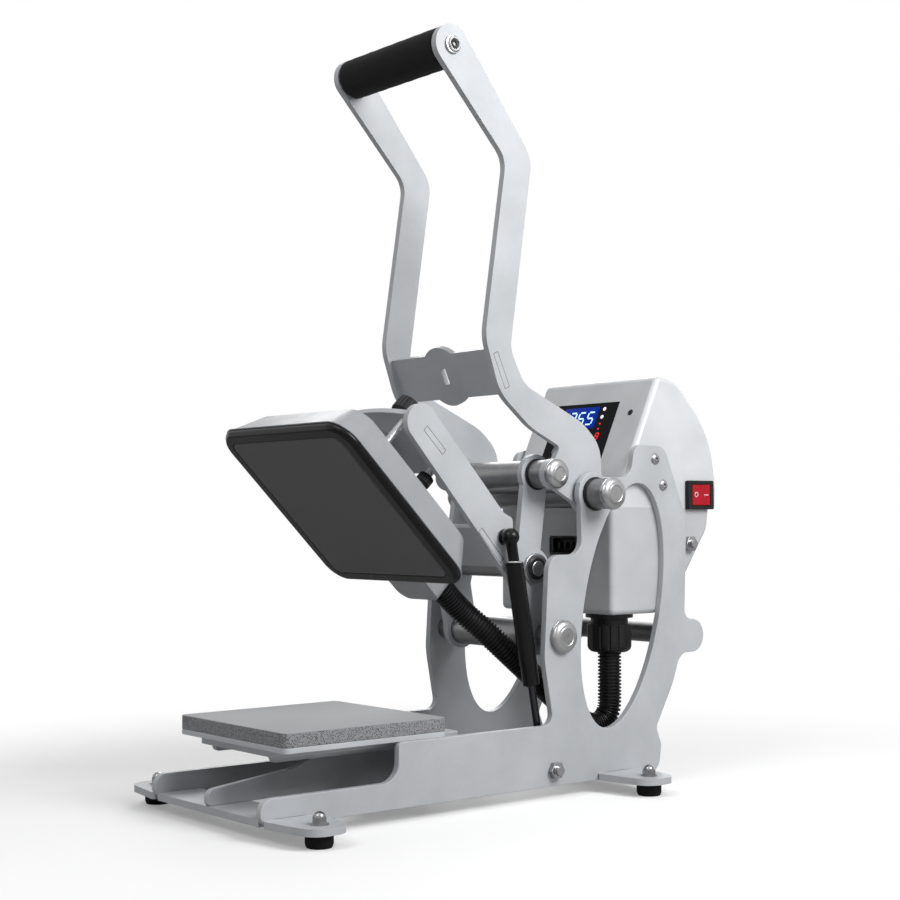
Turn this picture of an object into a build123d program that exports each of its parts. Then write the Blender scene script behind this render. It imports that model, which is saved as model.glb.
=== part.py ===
from build123d import *
from math import cos, hypot, radians, sin, tan
import os

os.makedirs("parts", exist_ok=True)

# A clamshell heat press, standing open on a bench. X runs across (+X is the side with the gas spring),
# Y runs back and Z up. The origin is on the bench under the middle of the press. Millimetres.

# Stack across the width, each value a distance from the middle plane
link_in = 42.0
link_t = 6.0
arm_in = 51.0
arm_t = 6.0
handle_in = 65.0
handle_t = 6.0
side_in = 73.5
side_t = 6.0
side_gap = 0.2
link_out = link_in + link_t
arm_out = arm_in + arm_t
handle_out = handle_in + handle_t
side_out = side_in + side_t

# Pivots of the folding linkage as (Y, Z), in the open pose
arm_pivot = (47.4, 133.5)
handle_pivot = (86.3, 253.0)
link_pivot = (48.0, 269.83)
drag_pivot = (37.0, 190.0)
tilt = 45.0

# Fits
run_fit = 0.05
seat_fit = 0.02
slot_fit = 0.1

# Pins, tubes and caps
pin_r = 6.0
handle_tube_r = 12.0
link_tube_r = 12.0
arm_tube_r = 13.4
drag_tube_r = 8.0
drag_stud_r = 6.5
drag_ring_r = 13.0
drag_ring_t = 3.0
spacer_r = 13.0
bush_r = 10.2
outer_spacer_len = 19.5
cap_r = 13.6
cap_face_r = 6.5
cap_len = 7.0
cap_bore = 4.0
link_cap_r = 12.4

# Side plates and base
plate_base_z = 10.5
front_rail_z = 31.0
front_end_y = -249.4
shoulder_y = -124.4
pad_bottom_z = 60.8
pivot_lobe_r = 18.5
tube_lobe = (207.0, 127.0)
tube_lobe_r = 14.7
window_centre = (120.0, 158.0)
window_long = 107.0
window_short = 46.0
window_tilt = 77.0

# Feet
foot_t = 5.5
foot_x = 116.0
front_foot_inset = 25.9
front_foot_y = front_end_y + front_foot_inset
rear_foot_y = 112.0
foot_ear_r = 17.0
foot_tab = 25.9
foot_r = 10.4
foot_base_r = 9.4
foot_hole_r = 3.2
foot_nut_r = 5.6
foot_nut_h = 9.4

# Lower platen
pad_y = -150.0
pad_size = 152.4
pad_t = 11.0
table_t = 4.2
table_corner = 5.0
bracket_x = 58.0
bracket_t = 5.8
bracket_front = 6.0
bracket_back = 176.0
bracket_lip = 5.0
rib_t = 6.0
cross_inset = 15.8
cross_y = pad_y - pad_size / 2 + bracket_front + bracket_back - cross_inset

# Heated platen, measured from the middle of its working face
face_y = -126.1
face_z = 239.5
plate_size = 152.4
plate_t = 14.0
rim_w = 12.3
rim_size = plate_size + 2 * rim_w
rim_corner = 21.0
rim_t = 5.6
cover_z = 6.0
cover_h = 28.0
cover_draft = 12.5
cover_top_size = rim_size - 2 * cover_draft
cover_corner = 18.0
cover_wall = 1.6
bridge_d = 76.5
bridge_t = 5.0
stud_x = 40.0
stud_s = 24.0
stud_r = 3.2
screw_s = -9.5
screw_r = 6.0
knob_r = 11.2
knob_h = 12.0
press_travel = 9.5

# Handle
grip_centre = (-62.5, 615.5)
grip_r = 17.0
grip_tube_r = 11.0
grip_plate_r = 17.0
brace_centre = (-11.2, 354.2)
brace_angle = -66.0
brace_h = 40.0
brace_t = 5.0
brace_tab = 31.0
brace_lobe_r = 26.5
brace_window_w = 7.0
brace_window_h = 14.0

# Control box
box_half = side_in - side_gap
box_wall = 2.2
box_round = 5.0
box_seam_z = 241.5
box_floor_z = 148.0
panel_w = 80.0
panel_h = 62.0
panel_t = 1.8
panel_x = -4.0
panel_drop = 16.5
switch_y = (206.0, 240.0)
switch_z = (239.9, 266.0)

# Conduit between the platen and the control box
hose_r = 10.5
hose_bore = 8.0
hose_valley = 9.4
hose_pitch = 3.0
gland_x = 45.0
gland_y = 137.0
gland_z = 114.0
gland_r = 19.5

# Gas spring
gas_x = 65.5
gas_top = (gas_x, 2.8, 217.0)
gas_foot = (gas_x, 37.9, 23.8)
gas_r = 7.5
gas_rod_r = 3.1
gas_ball_r = 5.0

# Places on the tilted platen: s runs down and back along its face, d runs out of its back
head = Plane(
    origin=(0, face_y, face_z),
    x_dir=(1, 0, 0),
    z_dir=(0, sin(radians(tilt)), cos(radians(tilt))),
)


def head_at(d):
    """The platen's plane, moved out of its back by d."""
    return head.offset(d)


def save(piece, name):
    """Label a finished piece and write its file."""
    piece.label = name
    export_step(piece, f"parts/{name}.step")


def outline(corners):
    """A closed outline through corners (across, up, corner radius)."""
    with BuildSketch() as sketch:
        with BuildLine():
            FilletPolyline(
                *[(a, b) for a, b, r in corners],
                radius=[r for a, b, r in corners],
                close=True,
            )
        make_face()
    return sketch.sketch


def flat_plate(x_low, thickness, corners, bosses=(), holes=(), slots=()):
    """A laser-cut plate on edge: bosses and holes are (Y, Z, r), slots (Y, Z, length, width, angle)."""
    with BuildPart() as plate:
        with BuildSketch(Plane.YZ.offset(x_low)):
            add(outline(corners))
            for y, z, r in bosses:
                with Locations((y, z)):
                    Circle(r)
            for y, z, r in holes:
                with Locations((y, z)):
                    Circle(r, mode=Mode.SUBTRACT)
            for y, z, length, width, angle in slots:
                with Locations((y, z)):
                    Rectangle(length, width, rotation=angle, mode=Mode.SUBTRACT)
        extrude(amount=thickness)
    return plate.part


def low_side(side, inner, thickness):
    """The lower X of a plate that stands at inner on the near (1) or far (-1) side."""
    return inner if side > 0 else -inner - thickness


def turned(spans, pivot):
    """Round bars and tubes along X at a pivot (Y, Z): each span is (x0, x1, radius, bore)."""
    with BuildPart() as bar:
        for x0, x1, r, bore in spans:
            with BuildSketch(Plane.YZ.offset(x0)):
                with Locations(pivot):
                    Circle(r)
                    if bore > 0:
                        Circle(bore, mode=Mode.SUBTRACT)
            extrude(amount=x1 - x0)
    return bar.part


def domed_caps(pivot, inner, radius):
    """A pair of push-on domed caps whose flat backs lie at inner on both sides."""
    with BuildPart() as caps:
        for side in (1, -1):
            with BuildSketch(Plane(origin=(0, *pivot), x_dir=(side, 0, 0), z_dir=(0, 0, 1))):
                with BuildLine():
                    Line((inner, pin_r + seat_fit), (inner, radius))
                    Line((inner, radius), (inner + 1.6, radius))
                    RadiusArc((inner + 1.6, radius), (inner + cap_len, cap_face_r), 8.6)
                    Line((inner + cap_len, cap_face_r), (inner + cap_len, 0))
                    Line((inner + cap_len, 0), (inner + cap_bore + 0.2, 0))
                    Line((inner + cap_bore + 0.2, 0), (inner + cap_bore + 0.2, pin_r + seat_fit))
                    Line((inner + cap_bore + 0.2, pin_r + seat_fit), (inner, pin_r + seat_fit))
                make_face()
            revolve(axis=Axis((0, *pivot), (1, 0, 0)))
    return caps.part


# Side plates of the frame

ay, az = arm_pivot
by, bz = handle_pivot
cy, cz = link_pivot
dy, dz = drag_pivot
pin_hole = pin_r + run_fit
side_corners = [
    (front_end_y, plate_base_z, 10.0),
    (front_end_y, front_rail_z, 10.0),
    (shoulder_y, front_rail_z, 15.0),
    (shoulder_y, pad_bottom_z, 4.0),
    (ay - 10.0, pad_bottom_z, 9.0),
    (ay - 20.0, 115.0, 60.0),
    (ay - 14.4, 201.7, 14.0),
    (by - 15.5, 201.7, 12.0),
    (by - 16.8, bz + 10.0, 0),
    (by, bz + 14.4, 0),
    (130.0, bz + 14.6, 13.0),
    (135.5, 296.5, 12.0),
    (172.5, 296.5, 16.0),
    (200.8, 231.0, 60.0),
    (197.2, tube_lobe[1] + tube_lobe_r, 9.0),
    (tube_lobe[0] + tube_lobe_r + 0.3, tube_lobe[1] + tube_lobe_r, 14.5),
    (tube_lobe[0] + tube_lobe_r + 0.3, tube_lobe[1] - tube_lobe_r, 14.5),
    (191.5, tube_lobe[1] - tube_lobe_r, 14.0),
    (181.5, 86.0, 60.0),
    (160.0, 49.0, 8.0),
    (166.2, 34.0, 10.0),
    (163.0, plate_base_z, 12.0),
]
box_screws_at = [(160.8, 284.3), (170.7, 261.4)]
box_screw_r = 3.0
hex_bolt_r = 4.0
box_bolt_at = (210.0, 209.0)
side_holes = [(ay, az, pin_hole), (by, bz, pin_hole)]
side_holes += [(y, z, box_screw_r + run_fit) for y, z in box_screws_at]
side_slots = [
    (front_foot_y, plate_base_z + foot_t / 2, foot_tab + slot_fit, foot_t + slot_fit),
    (rear_foot_y, plate_base_z + foot_t / 2, foot_tab + slot_fit, foot_t + slot_fit),
]
for side, name in ((1, "side_plate_near"), (-1, "side_plate_far")):
    x_low = low_side(side, side_in, side_t)
    with BuildPart() as side_plate:
        with BuildSketch(Plane.YZ.offset(x_low)):
            add(outline(side_corners))
            with Locations(handle_pivot):
                Circle(pivot_lobe_r)
            with Locations(window_centre):
                Ellipse(window_long, window_short, rotation=window_tilt, mode=Mode.SUBTRACT)
            for y, z, r in side_holes:
                with Locations((y, z)):
                    Circle(r, mode=Mode.SUBTRACT)
            if side > 0:
                with Locations((gas_foot[1], gas_foot[2])):
                    Circle(hex_bolt_r + run_fit, mode=Mode.SUBTRACT)
            for y, z, length, height in side_slots:
                with Locations((y, z)):
                    Rectangle(length, height, mode=Mode.SUBTRACT)
        extrude(amount=side_t)
    save(side_plate.part, name)

# Foot plates, rubber feet and the nuts that hold them


def foot_plate(y_low, y_high, foot_y):
    """A flat bar under the side plates, with a tab through each and round ears over the feet."""
    ear = foot_x + foot_ear_r
    with BuildPart() as plate:
        with BuildSketch(Plane.XY.offset(plate_base_z)):
            with Locations((0, (y_low + y_high) / 2)):
                Rectangle(2 * side_in, y_high - y_low)
            with Locations((0, foot_y)):
                Rectangle(2 * side_out, foot_tab)
            for side in (1, -1):
                ear_corners = [
                    (side * side_out, foot_y - 25.0, 3.0),
                    (side * ear, foot_y - foot_ear_r, foot_ear_r - 0.4),
                    (side * ear, foot_y + foot_ear_r, foot_ear_r - 0.4),
                    (side * side_out, foot_y + 25.0, 3.0),
                ]
                add(outline(ear_corners))
            with Locations(*[(side * foot_x, foot_y) for side in (1, -1)]):
                Circle(foot_hole_r, mode=Mode.SUBTRACT)
        extrude(amount=foot_t)
    return plate.part


save(foot_plate(front_end_y + 2.0, front_end_y + 41.0, front_foot_y), "front_foot_plate")
save(foot_plate(rear_foot_y - 12.0, rear_foot_y + 28.0, rear_foot_y), "rear_foot_plate")

feet_at = [(side * foot_x, y) for side in (1, -1) for y in (front_foot_y, rear_foot_y)]
foot_stud_r = 3.0
foot_socket = 4.0
with BuildPart() as rubber_feet:
    for x, y in feet_at:
        with BuildSketch(Plane(origin=(x, y, 0), x_dir=(1, 0, 0), z_dir=(0, -1, 0))):
            with BuildLine():
                Polyline(
                    (0, 0),
                    (foot_base_r, 0),
                    (foot_r, 3.0),
                    (foot_r, plate_base_z),
                    (foot_stud_r + run_fit, plate_base_z),
                    (foot_stud_r + run_fit, foot_socket),
                    (0, foot_socket),
                    close=True,
                )
            make_face()
        revolve(axis=Axis((x, y, 0), (0, 0, 1)))
save(rubber_feet.part, "rubber_feet")

foot_nut_gap = 0.1
with BuildPart() as foot_nuts:
    with BuildSketch(Plane.XY.offset(plate_base_z + foot_t)):
        with Locations(*feet_at):
            Circle(foot_nut_r)
    extrude(amount=foot_nut_h)
    fillet(foot_nuts.faces().sort_by(Axis.Z)[-4:].edges(), foot_nut_h * 0.45)
    with BuildSketch(Plane.XY.offset(foot_socket + foot_nut_gap)):
        with Locations(*feet_at):
            Circle(foot_stud_r)
    extrude(amount=plate_base_z + foot_t - foot_socket - foot_nut_gap)
save(foot_nuts.part, "foot_nuts")

# The rib and crossmember that carry the lower platen

bracket_z = pad_bottom_z - bracket_t
base_top = plate_base_z + foot_t
cross_front = cross_y - rib_t / 2
rib_corners = [
    (front_end_y + 2.2, base_top, 3.0),
    (front_end_y + 2.2, base_top + 12.0, 7.0),
    (pad_y - 21.0, base_top + 20.7, 30.0),
    (pad_y + 30.0, bracket_z, 12.0),
    (cross_front, bracket_z, 0),
    (cross_front, base_top, 0),
]
save(flat_plate(-rib_t / 2, rib_t, rib_corners), "middle_rib")

with BuildPart() as pad_crossmember:
    with BuildSketch(Plane.XZ.offset(-cross_front)):
        with Locations((0, (base_top + bracket_z) / 2)):
            Rectangle(2 * side_in, bracket_z - base_top)
    extrude(amount=-rib_t)
save(pad_crossmember.part, "pad_crossmember")

bracket_y = (pad_y - pad_size / 2 + bracket_front, pad_y - pad_size / 2 + bracket_front + bracket_back)
lip_x = 38.0
with BuildPart() as pad_bracket:
    with BuildSketch(Plane.XY.offset(bracket_z)):
        with Locations((0, sum(bracket_y) / 2)):
            RectangleRounded(2 * bracket_x, bracket_y[1] - bracket_y[0], 8.0)
    extrude(amount=bracket_t)
    for side in (1, -1):
        with BuildSketch(Plane.YZ.offset(low_side(side, lip_x, bracket_lip))):
            add(outline([
                (bracket_y[0] + 4.0, bracket_z, 0),
                (bracket_y[0] + 4.0, bracket_z - bracket_lip, bracket_lip - 1.0),
                (cross_front - 0.4, bracket_z - bracket_lip, 0),
                (cross_front - 0.4, bracket_z, 0),
            ]))
        extrude(amount=bracket_lip)
save(pad_bracket.part, "pad_bracket")

with BuildPart() as lower_platen:
    with BuildSketch(Plane.XY.offset(pad_bottom_z)):
        with Locations((0, pad_y)):
            RectangleRounded(pad_size, pad_size, table_corner)
    extrude(amount=table_t)
save(lower_platen.part, "lower_platen")

pad_z = pad_bottom_z + table_t
with BuildPart() as silicone_pad:
    with BuildSketch(Plane.XY.offset(pad_z)):
        with Locations((0, pad_y)):
            RectangleRounded(pad_size, pad_size, table_corner)
    extrude(amount=pad_t)
    chamfer(silicone_pad.faces().sort_by(Axis.Z)[-1].edges(), 0.8)
save(silicone_pad.part, "silicone_pad")

rear_tube_r = 9.0
rear_tube_wall = 2.0
rear_tube_span = (-side_in, side_in, rear_tube_r, rear_tube_r - rear_tube_wall)
save(turned([rear_tube_span], tube_lobe), "rear_cross_tube")

# Shafts, spacers and caps at the two pivots in the side plates

cap_b = side_out + outer_spacer_len
save(
    turned([(-side_out - cap_bore, side_out + cap_bore, pin_r, 0)], arm_pivot)
    + turned([(-cap_b - cap_bore, cap_b + cap_bore, pin_r, 0)], handle_pivot),
    "pivot_shafts",
)
washer_gap = 0.1
spacers = turned(
    [
        (arm_out + 2 * washer_gap, side_in, bush_r, pin_hole),
        (-side_in, -arm_out - 2 * washer_gap, bush_r, pin_hole),
    ],
    arm_pivot,
) + turned(
    [
        (handle_out + 2 * washer_gap, side_in, bush_r, pin_hole),
        (-side_in, -handle_out - 2 * washer_gap, bush_r, pin_hole),
        (side_out, cap_b, spacer_r, pin_hole),
        (-cap_b, -side_out, spacer_r, pin_hole),
    ],
    handle_pivot,
)
save(spacers, "shaft_spacers")
save(domed_caps(arm_pivot, side_out, cap_r) + domed_caps(handle_pivot, cap_b, cap_r), "shaft_caps")

# Control box: a lower box between the side plates and a domed cover that holds the panel

cover_corners = [
    (116.2, box_seam_z, 0),
    (171.8, 359.8, 8.0),
    (196.0, 355.5, 30.0),
    (240.5, 311.0, 90.0),
    (249.6, 262.0, 60.0),
    (248.6, box_seam_z, 0),
]
base_corners = [
    (112.5, box_floor_z, 5.0),
    (112.5, box_seam_z, 0),
    (239.6, box_seam_z, 0),
    (236.5, 222.0, 20.0),
    (207.0, 180.5, 60.0),
    (171.0, box_floor_z, 12.0),
]
panel_low = cover_corners[0]
panel_high = cover_corners[1]
face_run = panel_high[0] - panel_low[0]
face_rise = panel_high[1] - panel_low[1]
face_len = hypot(face_run, face_rise)
panel_up = face_len - 8.0 - panel_drop - panel_h / 2
panel_mid = (
    panel_x,
    panel_low[0] + face_run * panel_up / face_len,
    panel_low[1] + face_rise * panel_up / face_len,
)
panel_plane = Plane(origin=panel_mid, x_dir=(1, 0, 0), z_dir=(0, -face_rise / face_len, face_run / face_len))
panel_fit = 0.15
post_r = 3.0
post_len = 7.0
posts_at = [(x * (panel_w / 2 + 6.0), y * (panel_h / 2 - 6.0)) for x in (1, -1) for y in (1, -1)]
side_mark = (54.0 - panel_x, 19.0)
switch_mid = (sum(switch_y) / 2, sum(switch_z) / 2)
switch_body = (27.6, 21.6)
with BuildPart() as control_cover:
    with BuildSketch(Plane.YZ.offset(-box_half)):
        add(outline(cover_corners))
    extrude(amount=2 * box_half)
    sides = control_cover.faces().filter_by(Axis.X)
    fillet(sides.edges().filter_by(lambda edge: edge.center().Z > box_seam_z + 1.0), box_round)
    with BuildSketch(Plane.YZ.offset(-box_half + box_wall)):
        add(outline(cover_corners))
        offset(amount=-box_wall)
        with Locations(((panel_low[0] + cover_corners[5][0]) / 2, box_seam_z + box_wall)):
            Rectangle(cover_corners[5][0] - panel_low[0] - 3.4 * box_wall, 4 * box_wall)
    extrude(amount=2 * (box_half - box_wall), mode=Mode.SUBTRACT)
    with BuildSketch(panel_plane):
        Rectangle(panel_w + 2 * panel_fit, panel_h + 2 * panel_fit)
        with Locations(side_mark):
            Circle(2.0)
    extrude(amount=-4 * box_wall, mode=Mode.SUBTRACT)
    with BuildSketch(Plane.YZ.offset(-box_half)):
        with Locations(*box_screws_at):
            Circle(box_screw_r + run_fit)
    extrude(amount=2 * box_half, mode=Mode.SUBTRACT)
    with BuildSketch(Plane.YZ.offset(box_half)):
        with Locations(switch_mid):
            Rectangle(switch_body[0] + 0.2, switch_body[1] + 0.2)
    extrude(amount=-2 * box_wall, mode=Mode.SUBTRACT)
save(control_cover.part, "control_cover")

inlet_size = (27.0, 20.0)
inlet_x = -30.0
slope_a = base_corners[4]
slope_b = base_corners[5]
slope_mid = ((slope_a[0] + slope_b[0]) / 2, (slope_a[1] + slope_b[1]) / 2)
slope_len = hypot(slope_a[0] - slope_b[0], slope_a[1] - slope_b[1])
slope_dir = ((slope_a[0] - slope_b[0]) / slope_len, (slope_a[1] - slope_b[1]) / slope_len)
inlet_plane = Plane(
    origin=(inlet_x, *slope_mid),
    x_dir=(1, 0, 0),
    z_dir=(0, slope_dir[1], -slope_dir[0]),
)
vent_at = (12.5, 208.0)
vent_size = (33.0, 14.0)
gland_hole = gland_r * 0.7
with BuildPart() as control_base:
    with BuildSketch(Plane.YZ.offset(-box_half)):
        add(outline(base_corners))
    extrude(amount=2 * box_half)
    sides = control_base.faces().filter_by(Axis.X)
    fillet(sides.edges().filter_by(lambda edge: edge.center().Z < box_seam_z - 1.0), box_round)
    with BuildSketch(Plane.YZ.offset(-box_half + box_wall)):
        add(outline(base_corners))
        offset(amount=-box_wall)
        with Locations(((base_corners[1][0] + base_corners[2][0]) / 2, box_seam_z)):
            Rectangle(base_corners[2][0] - base_corners[1][0] - 3.0 * box_wall, 4 * box_wall)
    extrude(amount=2 * (box_half - box_wall), mode=Mode.SUBTRACT)
    with BuildSketch(Plane.XY.offset(box_floor_z)):
        with Locations((gland_x, gland_y)):
            Circle(gland_hole)
    extrude(amount=2 * box_wall, mode=Mode.SUBTRACT)
    with BuildSketch(Plane.XZ.offset(-base_corners[0][0])):
        with Locations(vent_at):
            Rectangle(*vent_size)
    extrude(amount=-2 * box_wall, mode=Mode.SUBTRACT)
    with BuildSketch(inlet_plane):
        Rectangle(inlet_size[0] + 0.2, inlet_size[1] + 0.2)
    extrude(amount=-3 * box_wall, mode=Mode.SUBTRACT)
    with BuildSketch(Plane.YZ.offset(-box_half)):
        with Locations(box_bolt_at):
            Circle(hex_bolt_r + run_fit)
    extrude(amount=2 * box_half, mode=Mode.SUBTRACT)
save(control_base.part, "control_base")

with BuildPart() as display_panel:
    with BuildSketch(panel_plane.offset(-box_wall + 0.4)):
        Rectangle(panel_w, panel_h)
    extrude(amount=panel_t)
save(display_panel.part, "display_panel")

board_t = 1.6
with BuildPart() as control_board:
    with BuildSketch(panel_plane.offset(-box_wall - post_len)):
        Rectangle(panel_w + 24.0, panel_h)
    extrude(amount=-board_t)
    with BuildSketch(panel_plane.offset(-box_wall - post_len)):
        with Locations(*posts_at):
            Circle(post_r)
    extrude(amount=post_len)
    with BuildSketch(panel_plane.offset(-box_wall - post_len - board_t)):
        with Locations((18.0, 6.0)):
            Rectangle(26.0, 20.0)
        with Locations((-22.0, -8.0)):
            Rectangle(19.0, 16.0)
    extrude(amount=-12.0)
save(control_board.part, "control_board")

rocker_axis_x = box_half - 1.0
rocker_r = 11.6
rocker_swing = 16.0
rocker_face = 5.0
switch_flange = 4.4
with BuildPart() as switch_housing:
    with BuildSketch(Plane.YZ.offset(box_half)):
        with Locations(switch_mid):
            RectangleRounded(switch_y[1] - switch_y[0], switch_z[1] - switch_z[0], 1.5)
    extrude(amount=switch_flange)
    with BuildSketch(Plane.YZ.offset(box_half)):
        with Locations(switch_mid):
            Rectangle(*switch_body)
    extrude(amount=-20.0)
    with BuildSketch(Plane.YZ.offset(box_half + switch_flange)):
        with Locations(switch_mid):
            Rectangle(2 * rocker_r + 0.7, switch_body[1] - 2.4)
    extrude(amount=-switch_flange - 9.0, mode=Mode.SUBTRACT)
save(switch_housing.part, "switch_housing")

with BuildPart() as power_inlet:
    with BuildSketch(inlet_plane):
        Rectangle(inlet_size[0] + 8.0, inlet_size[1] + 4.0)
    extrude(amount=1.6)
    with BuildSketch(inlet_plane):
        Rectangle(*inlet_size)
    extrude(amount=-16.0)
    with BuildSketch(inlet_plane.offset(1.6)):
        RectangleRounded(inlet_size[0] - 4.0, inlet_size[1] - 4.0, 3.0)
    extrude(amount=-14.0, mode=Mode.SUBTRACT)
    with BuildSketch(inlet_plane.offset(1.6 - 14.0)):
        with Locations((0, 2.0), (-7.0, -2.0), (7.0, -2.0)):
            Rectangle(1.6, 5.0)
    extrude(amount=10.0)
save(power_inlet.part, "power_inlet")

gland_flange_z = box_floor_z - 3.5
gland_nut_top = gland_flange_z - 5.5
locknut_t = 4.0
with BuildPart() as conduit_gland:
    with BuildSketch(Plane(origin=(gland_x, gland_y, 0), x_dir=(1, 0, 0), z_dir=(0, -1, 0))):
        with BuildLine():
            Line((hose_bore, gland_z), (gland_r - 6.0, gland_z))
            RadiusArc((gland_r - 6.0, gland_z), (gland_r, gland_z + 6.0), -6.0)
            Polyline(
                (gland_r, gland_z + 6.0),
                (gland_r, gland_nut_top),
                (gland_r - 3.0, gland_nut_top),
                (gland_r - 3.0, gland_flange_z),
                (gland_r + 1.5, gland_flange_z),
                (gland_r + 1.5, box_floor_z),
                (gland_hole - 0.1, box_floor_z),
                (gland_hole - 0.1, box_floor_z + box_wall),
                (gland_r - 2.0, box_floor_z + box_wall),
                (gland_r - 2.0, box_floor_z + box_wall + locknut_t),
                (hose_bore, box_floor_z + box_wall + locknut_t),
                (hose_bore, gland_z),
            )
        make_face()
    revolve(axis=Axis((gland_x, gland_y, 0), (0, 0, 1)))
    with BuildSketch(Plane.XY.offset(gland_z + 2.0)):
        with Locations((gland_x, gland_y)):
            with PolarLocations(gland_r + 0.6, 16):
                Circle(1.6)
    extrude(amount=gland_nut_top - gland_z - 3.0, mode=Mode.SUBTRACT)
save(conduit_gland.part, "conduit_gland")

with BuildPart() as box_screws:
    for side in (1, -1):
        with BuildSketch(Plane.YZ.offset(side * side_out)):
            with Locations(*box_screws_at):
                Circle(box_screw_r + 2.0)
        extrude(amount=side * 2.4)
        with BuildSketch(Plane.YZ.offset(side * side_out)):
            with Locations(*box_screws_at):
                Circle(box_screw_r)
        extrude(amount=side * -11.5)
save(box_screws.part, "box_screws")

hex_r = 7.4
hex_h = 5.0
with BuildPart() as hex_bolts:
    for side in (1, -1):
        with BuildSketch(Plane.YZ.offset(side * box_half)):
            with Locations(box_bolt_at):
                RegularPolygon(hex_r, 6)
        extrude(amount=side * hex_h)
        with BuildSketch(Plane.YZ.offset(side * (box_half + hex_h + 3.0))):
            with Locations(box_bolt_at):
                Circle(hex_bolt_r)
        extrude(amount=side * -(hex_h + 13.0))
    with BuildSketch(Plane.YZ.offset(side_out)):
        with Locations((gas_foot[1], gas_foot[2])):
            RegularPolygon(hex_r, 6)
    extrude(amount=hex_h)
    with BuildSketch(Plane.YZ.offset(side_in)):
        with Locations((gas_foot[1], gas_foot[2])):
            Circle(hex_bolt_r)
    extrude(amount=side_t + hex_h + 3.0)
save(hex_bolts.part, "hex_bolts")

# The rocker of the power switch, tipped to its off side

with BuildPart() as power_rocker:
    rocker_plane = Plane(
        origin=(rocker_axis_x, switch_mid[0], switch_mid[1]),
        x_dir=(cos(radians(-rocker_swing / 2)), sin(radians(-rocker_swing / 2)), 0),
        z_dir=(0, 0, 1),
    )
    rocker_h = switch_body[1] - 3.0
    rocker_rise = rocker_r * tan(radians(rocker_swing / 2))
    rocker_notch = [
        (rocker_face, 0, 0),
        (rocker_face + rocker_rise, rocker_r, 0),
        (2 * rocker_r, rocker_r, 0),
        (2 * rocker_r, -rocker_r, 0),
        (rocker_face + rocker_rise, -rocker_r, 0),
    ]
    with BuildSketch(rocker_plane.offset(-rocker_h / 2)):
        Circle(rocker_r)
        with Locations((-rocker_r - 3.0, 0)):
            Rectangle(2 * rocker_r, 2 * rocker_r, mode=Mode.SUBTRACT)
        add(outline(rocker_notch), mode=Mode.SUBTRACT)
    extrude(amount=rocker_h)
save(power_rocker.part, "power_rocker")

# Handle: two bent side plates, a brace, the grip and the tube they turn on

grip_hole_r = 4.0
gy, gz = grip_centre
ry, rz = brace_centre
handle_corners = [
    (gy - 12.5, gz - 11.5, 0),
    (by - 91.5, bz + 277.0, 22.0),
    (by - 114.8, bz + 128.0, 40.0),
    (by - 99.3, bz + 82.5, 45.0),
    (cy - 27.0, cz + 38.2, 60.0),
    (cy + 6.2, cz + 23.0, 3.5),
    (cy - 1.5, cz + 9.0, 0),
    (cy, cz - 12.4, 0),
    (by + 2.0, bz - 17.0, 0),
    (by + pivot_lobe_r - 1.2, bz, 0),
    (by + 15.7, bz + 41.0, 30.0),
    (by - 4.3, bz + 60.5, 60.0),
    (by - 72.3, bz + 90.5, 28.0),
    (by - 87.6, bz + 119.0, 26.0),
    (by - 62.8, bz + 281.5, 26.0),
    (gy + 13.7, gz + 10.0, 0),
]
handle_bosses = [
    (gy, gz, grip_plate_r),
    (by, bz, pivot_lobe_r - 1.2),
    (cy, cz, link_cap_r + 0.4),
]
handle_holes = [
    (gy, gz, grip_hole_r + seat_fit),
    (by, bz, pin_hole),
    (cy, cz, pin_r + seat_fit),
]
brace_slot = (ry, rz, brace_tab + slot_fit, brace_t + slot_fit, brace_angle)
for side, name in ((1, "handle_plate_near"), (-1, "handle_plate_far")):
    x_low = low_side(side, handle_in, handle_t)
    save(flat_plate(x_low, handle_t, handle_corners, handle_bosses, handle_holes, [brace_slot]), name)

brace_dir = (cos(radians(brace_angle)), sin(radians(brace_angle)))
brace_plane = Plane(
    origin=(0, ry, rz),
    x_dir=(1, 0, 0),
    z_dir=(0, -brace_dir[1], brace_dir[0]),
)
with BuildPart() as handle_brace:
    with BuildSketch(brace_plane.offset(-brace_t / 2)):
        Rectangle(2 * handle_in, brace_h)
        Rectangle(2 * handle_out, brace_tab)
        Circle(brace_lobe_r)
        Rectangle(brace_window_w, brace_window_h, mode=Mode.SUBTRACT)
    extrude(amount=brace_t)
save(handle_brace.part, "handle_brace")

save(turned([(-handle_in, handle_in, grip_tube_r, grip_hole_r + seat_fit)], grip_centre), "grip_tube")
foam_gap = 0.5
save(
    turned([(-handle_in + foam_gap, handle_in - foam_gap, grip_r, grip_tube_r + run_fit)], grip_centre),
    "foam_grip",
)
grip_head_r = 7.0
grip_head_t = 4.0
save(
    turned([(handle_in - 8.0, handle_out, grip_hole_r, 0)], grip_centre)
    + turned([(handle_out, handle_out + grip_head_t, grip_head_r, 0)], grip_centre)
    + turned([(-handle_out, 8.0 - handle_in, grip_hole_r, 0)], grip_centre)
    + turned([(-handle_out - grip_head_t, -handle_out, grip_head_r, 0)], grip_centre),
    "grip_screws",
)
save(turned([(-handle_in, handle_in, handle_tube_r, pin_hole)], handle_pivot), "handle_tube")

# Links between handle and arms, and the pin, spacers and caps at their upper end

save(turned([(-handle_out - cap_bore, handle_out + cap_bore, pin_r, 0)], link_pivot), "link_pin")
save(
    turned(
        [
            (link_out + 2 * washer_gap, handle_in, link_tube_r, pin_hole),
            (-handle_in, -link_out - 2 * washer_gap, link_tube_r, pin_hole),
        ],
        link_pivot,
    ),
    "link_spacers",
)
save(domed_caps(link_pivot, handle_out, link_cap_r), "link_caps")

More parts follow.
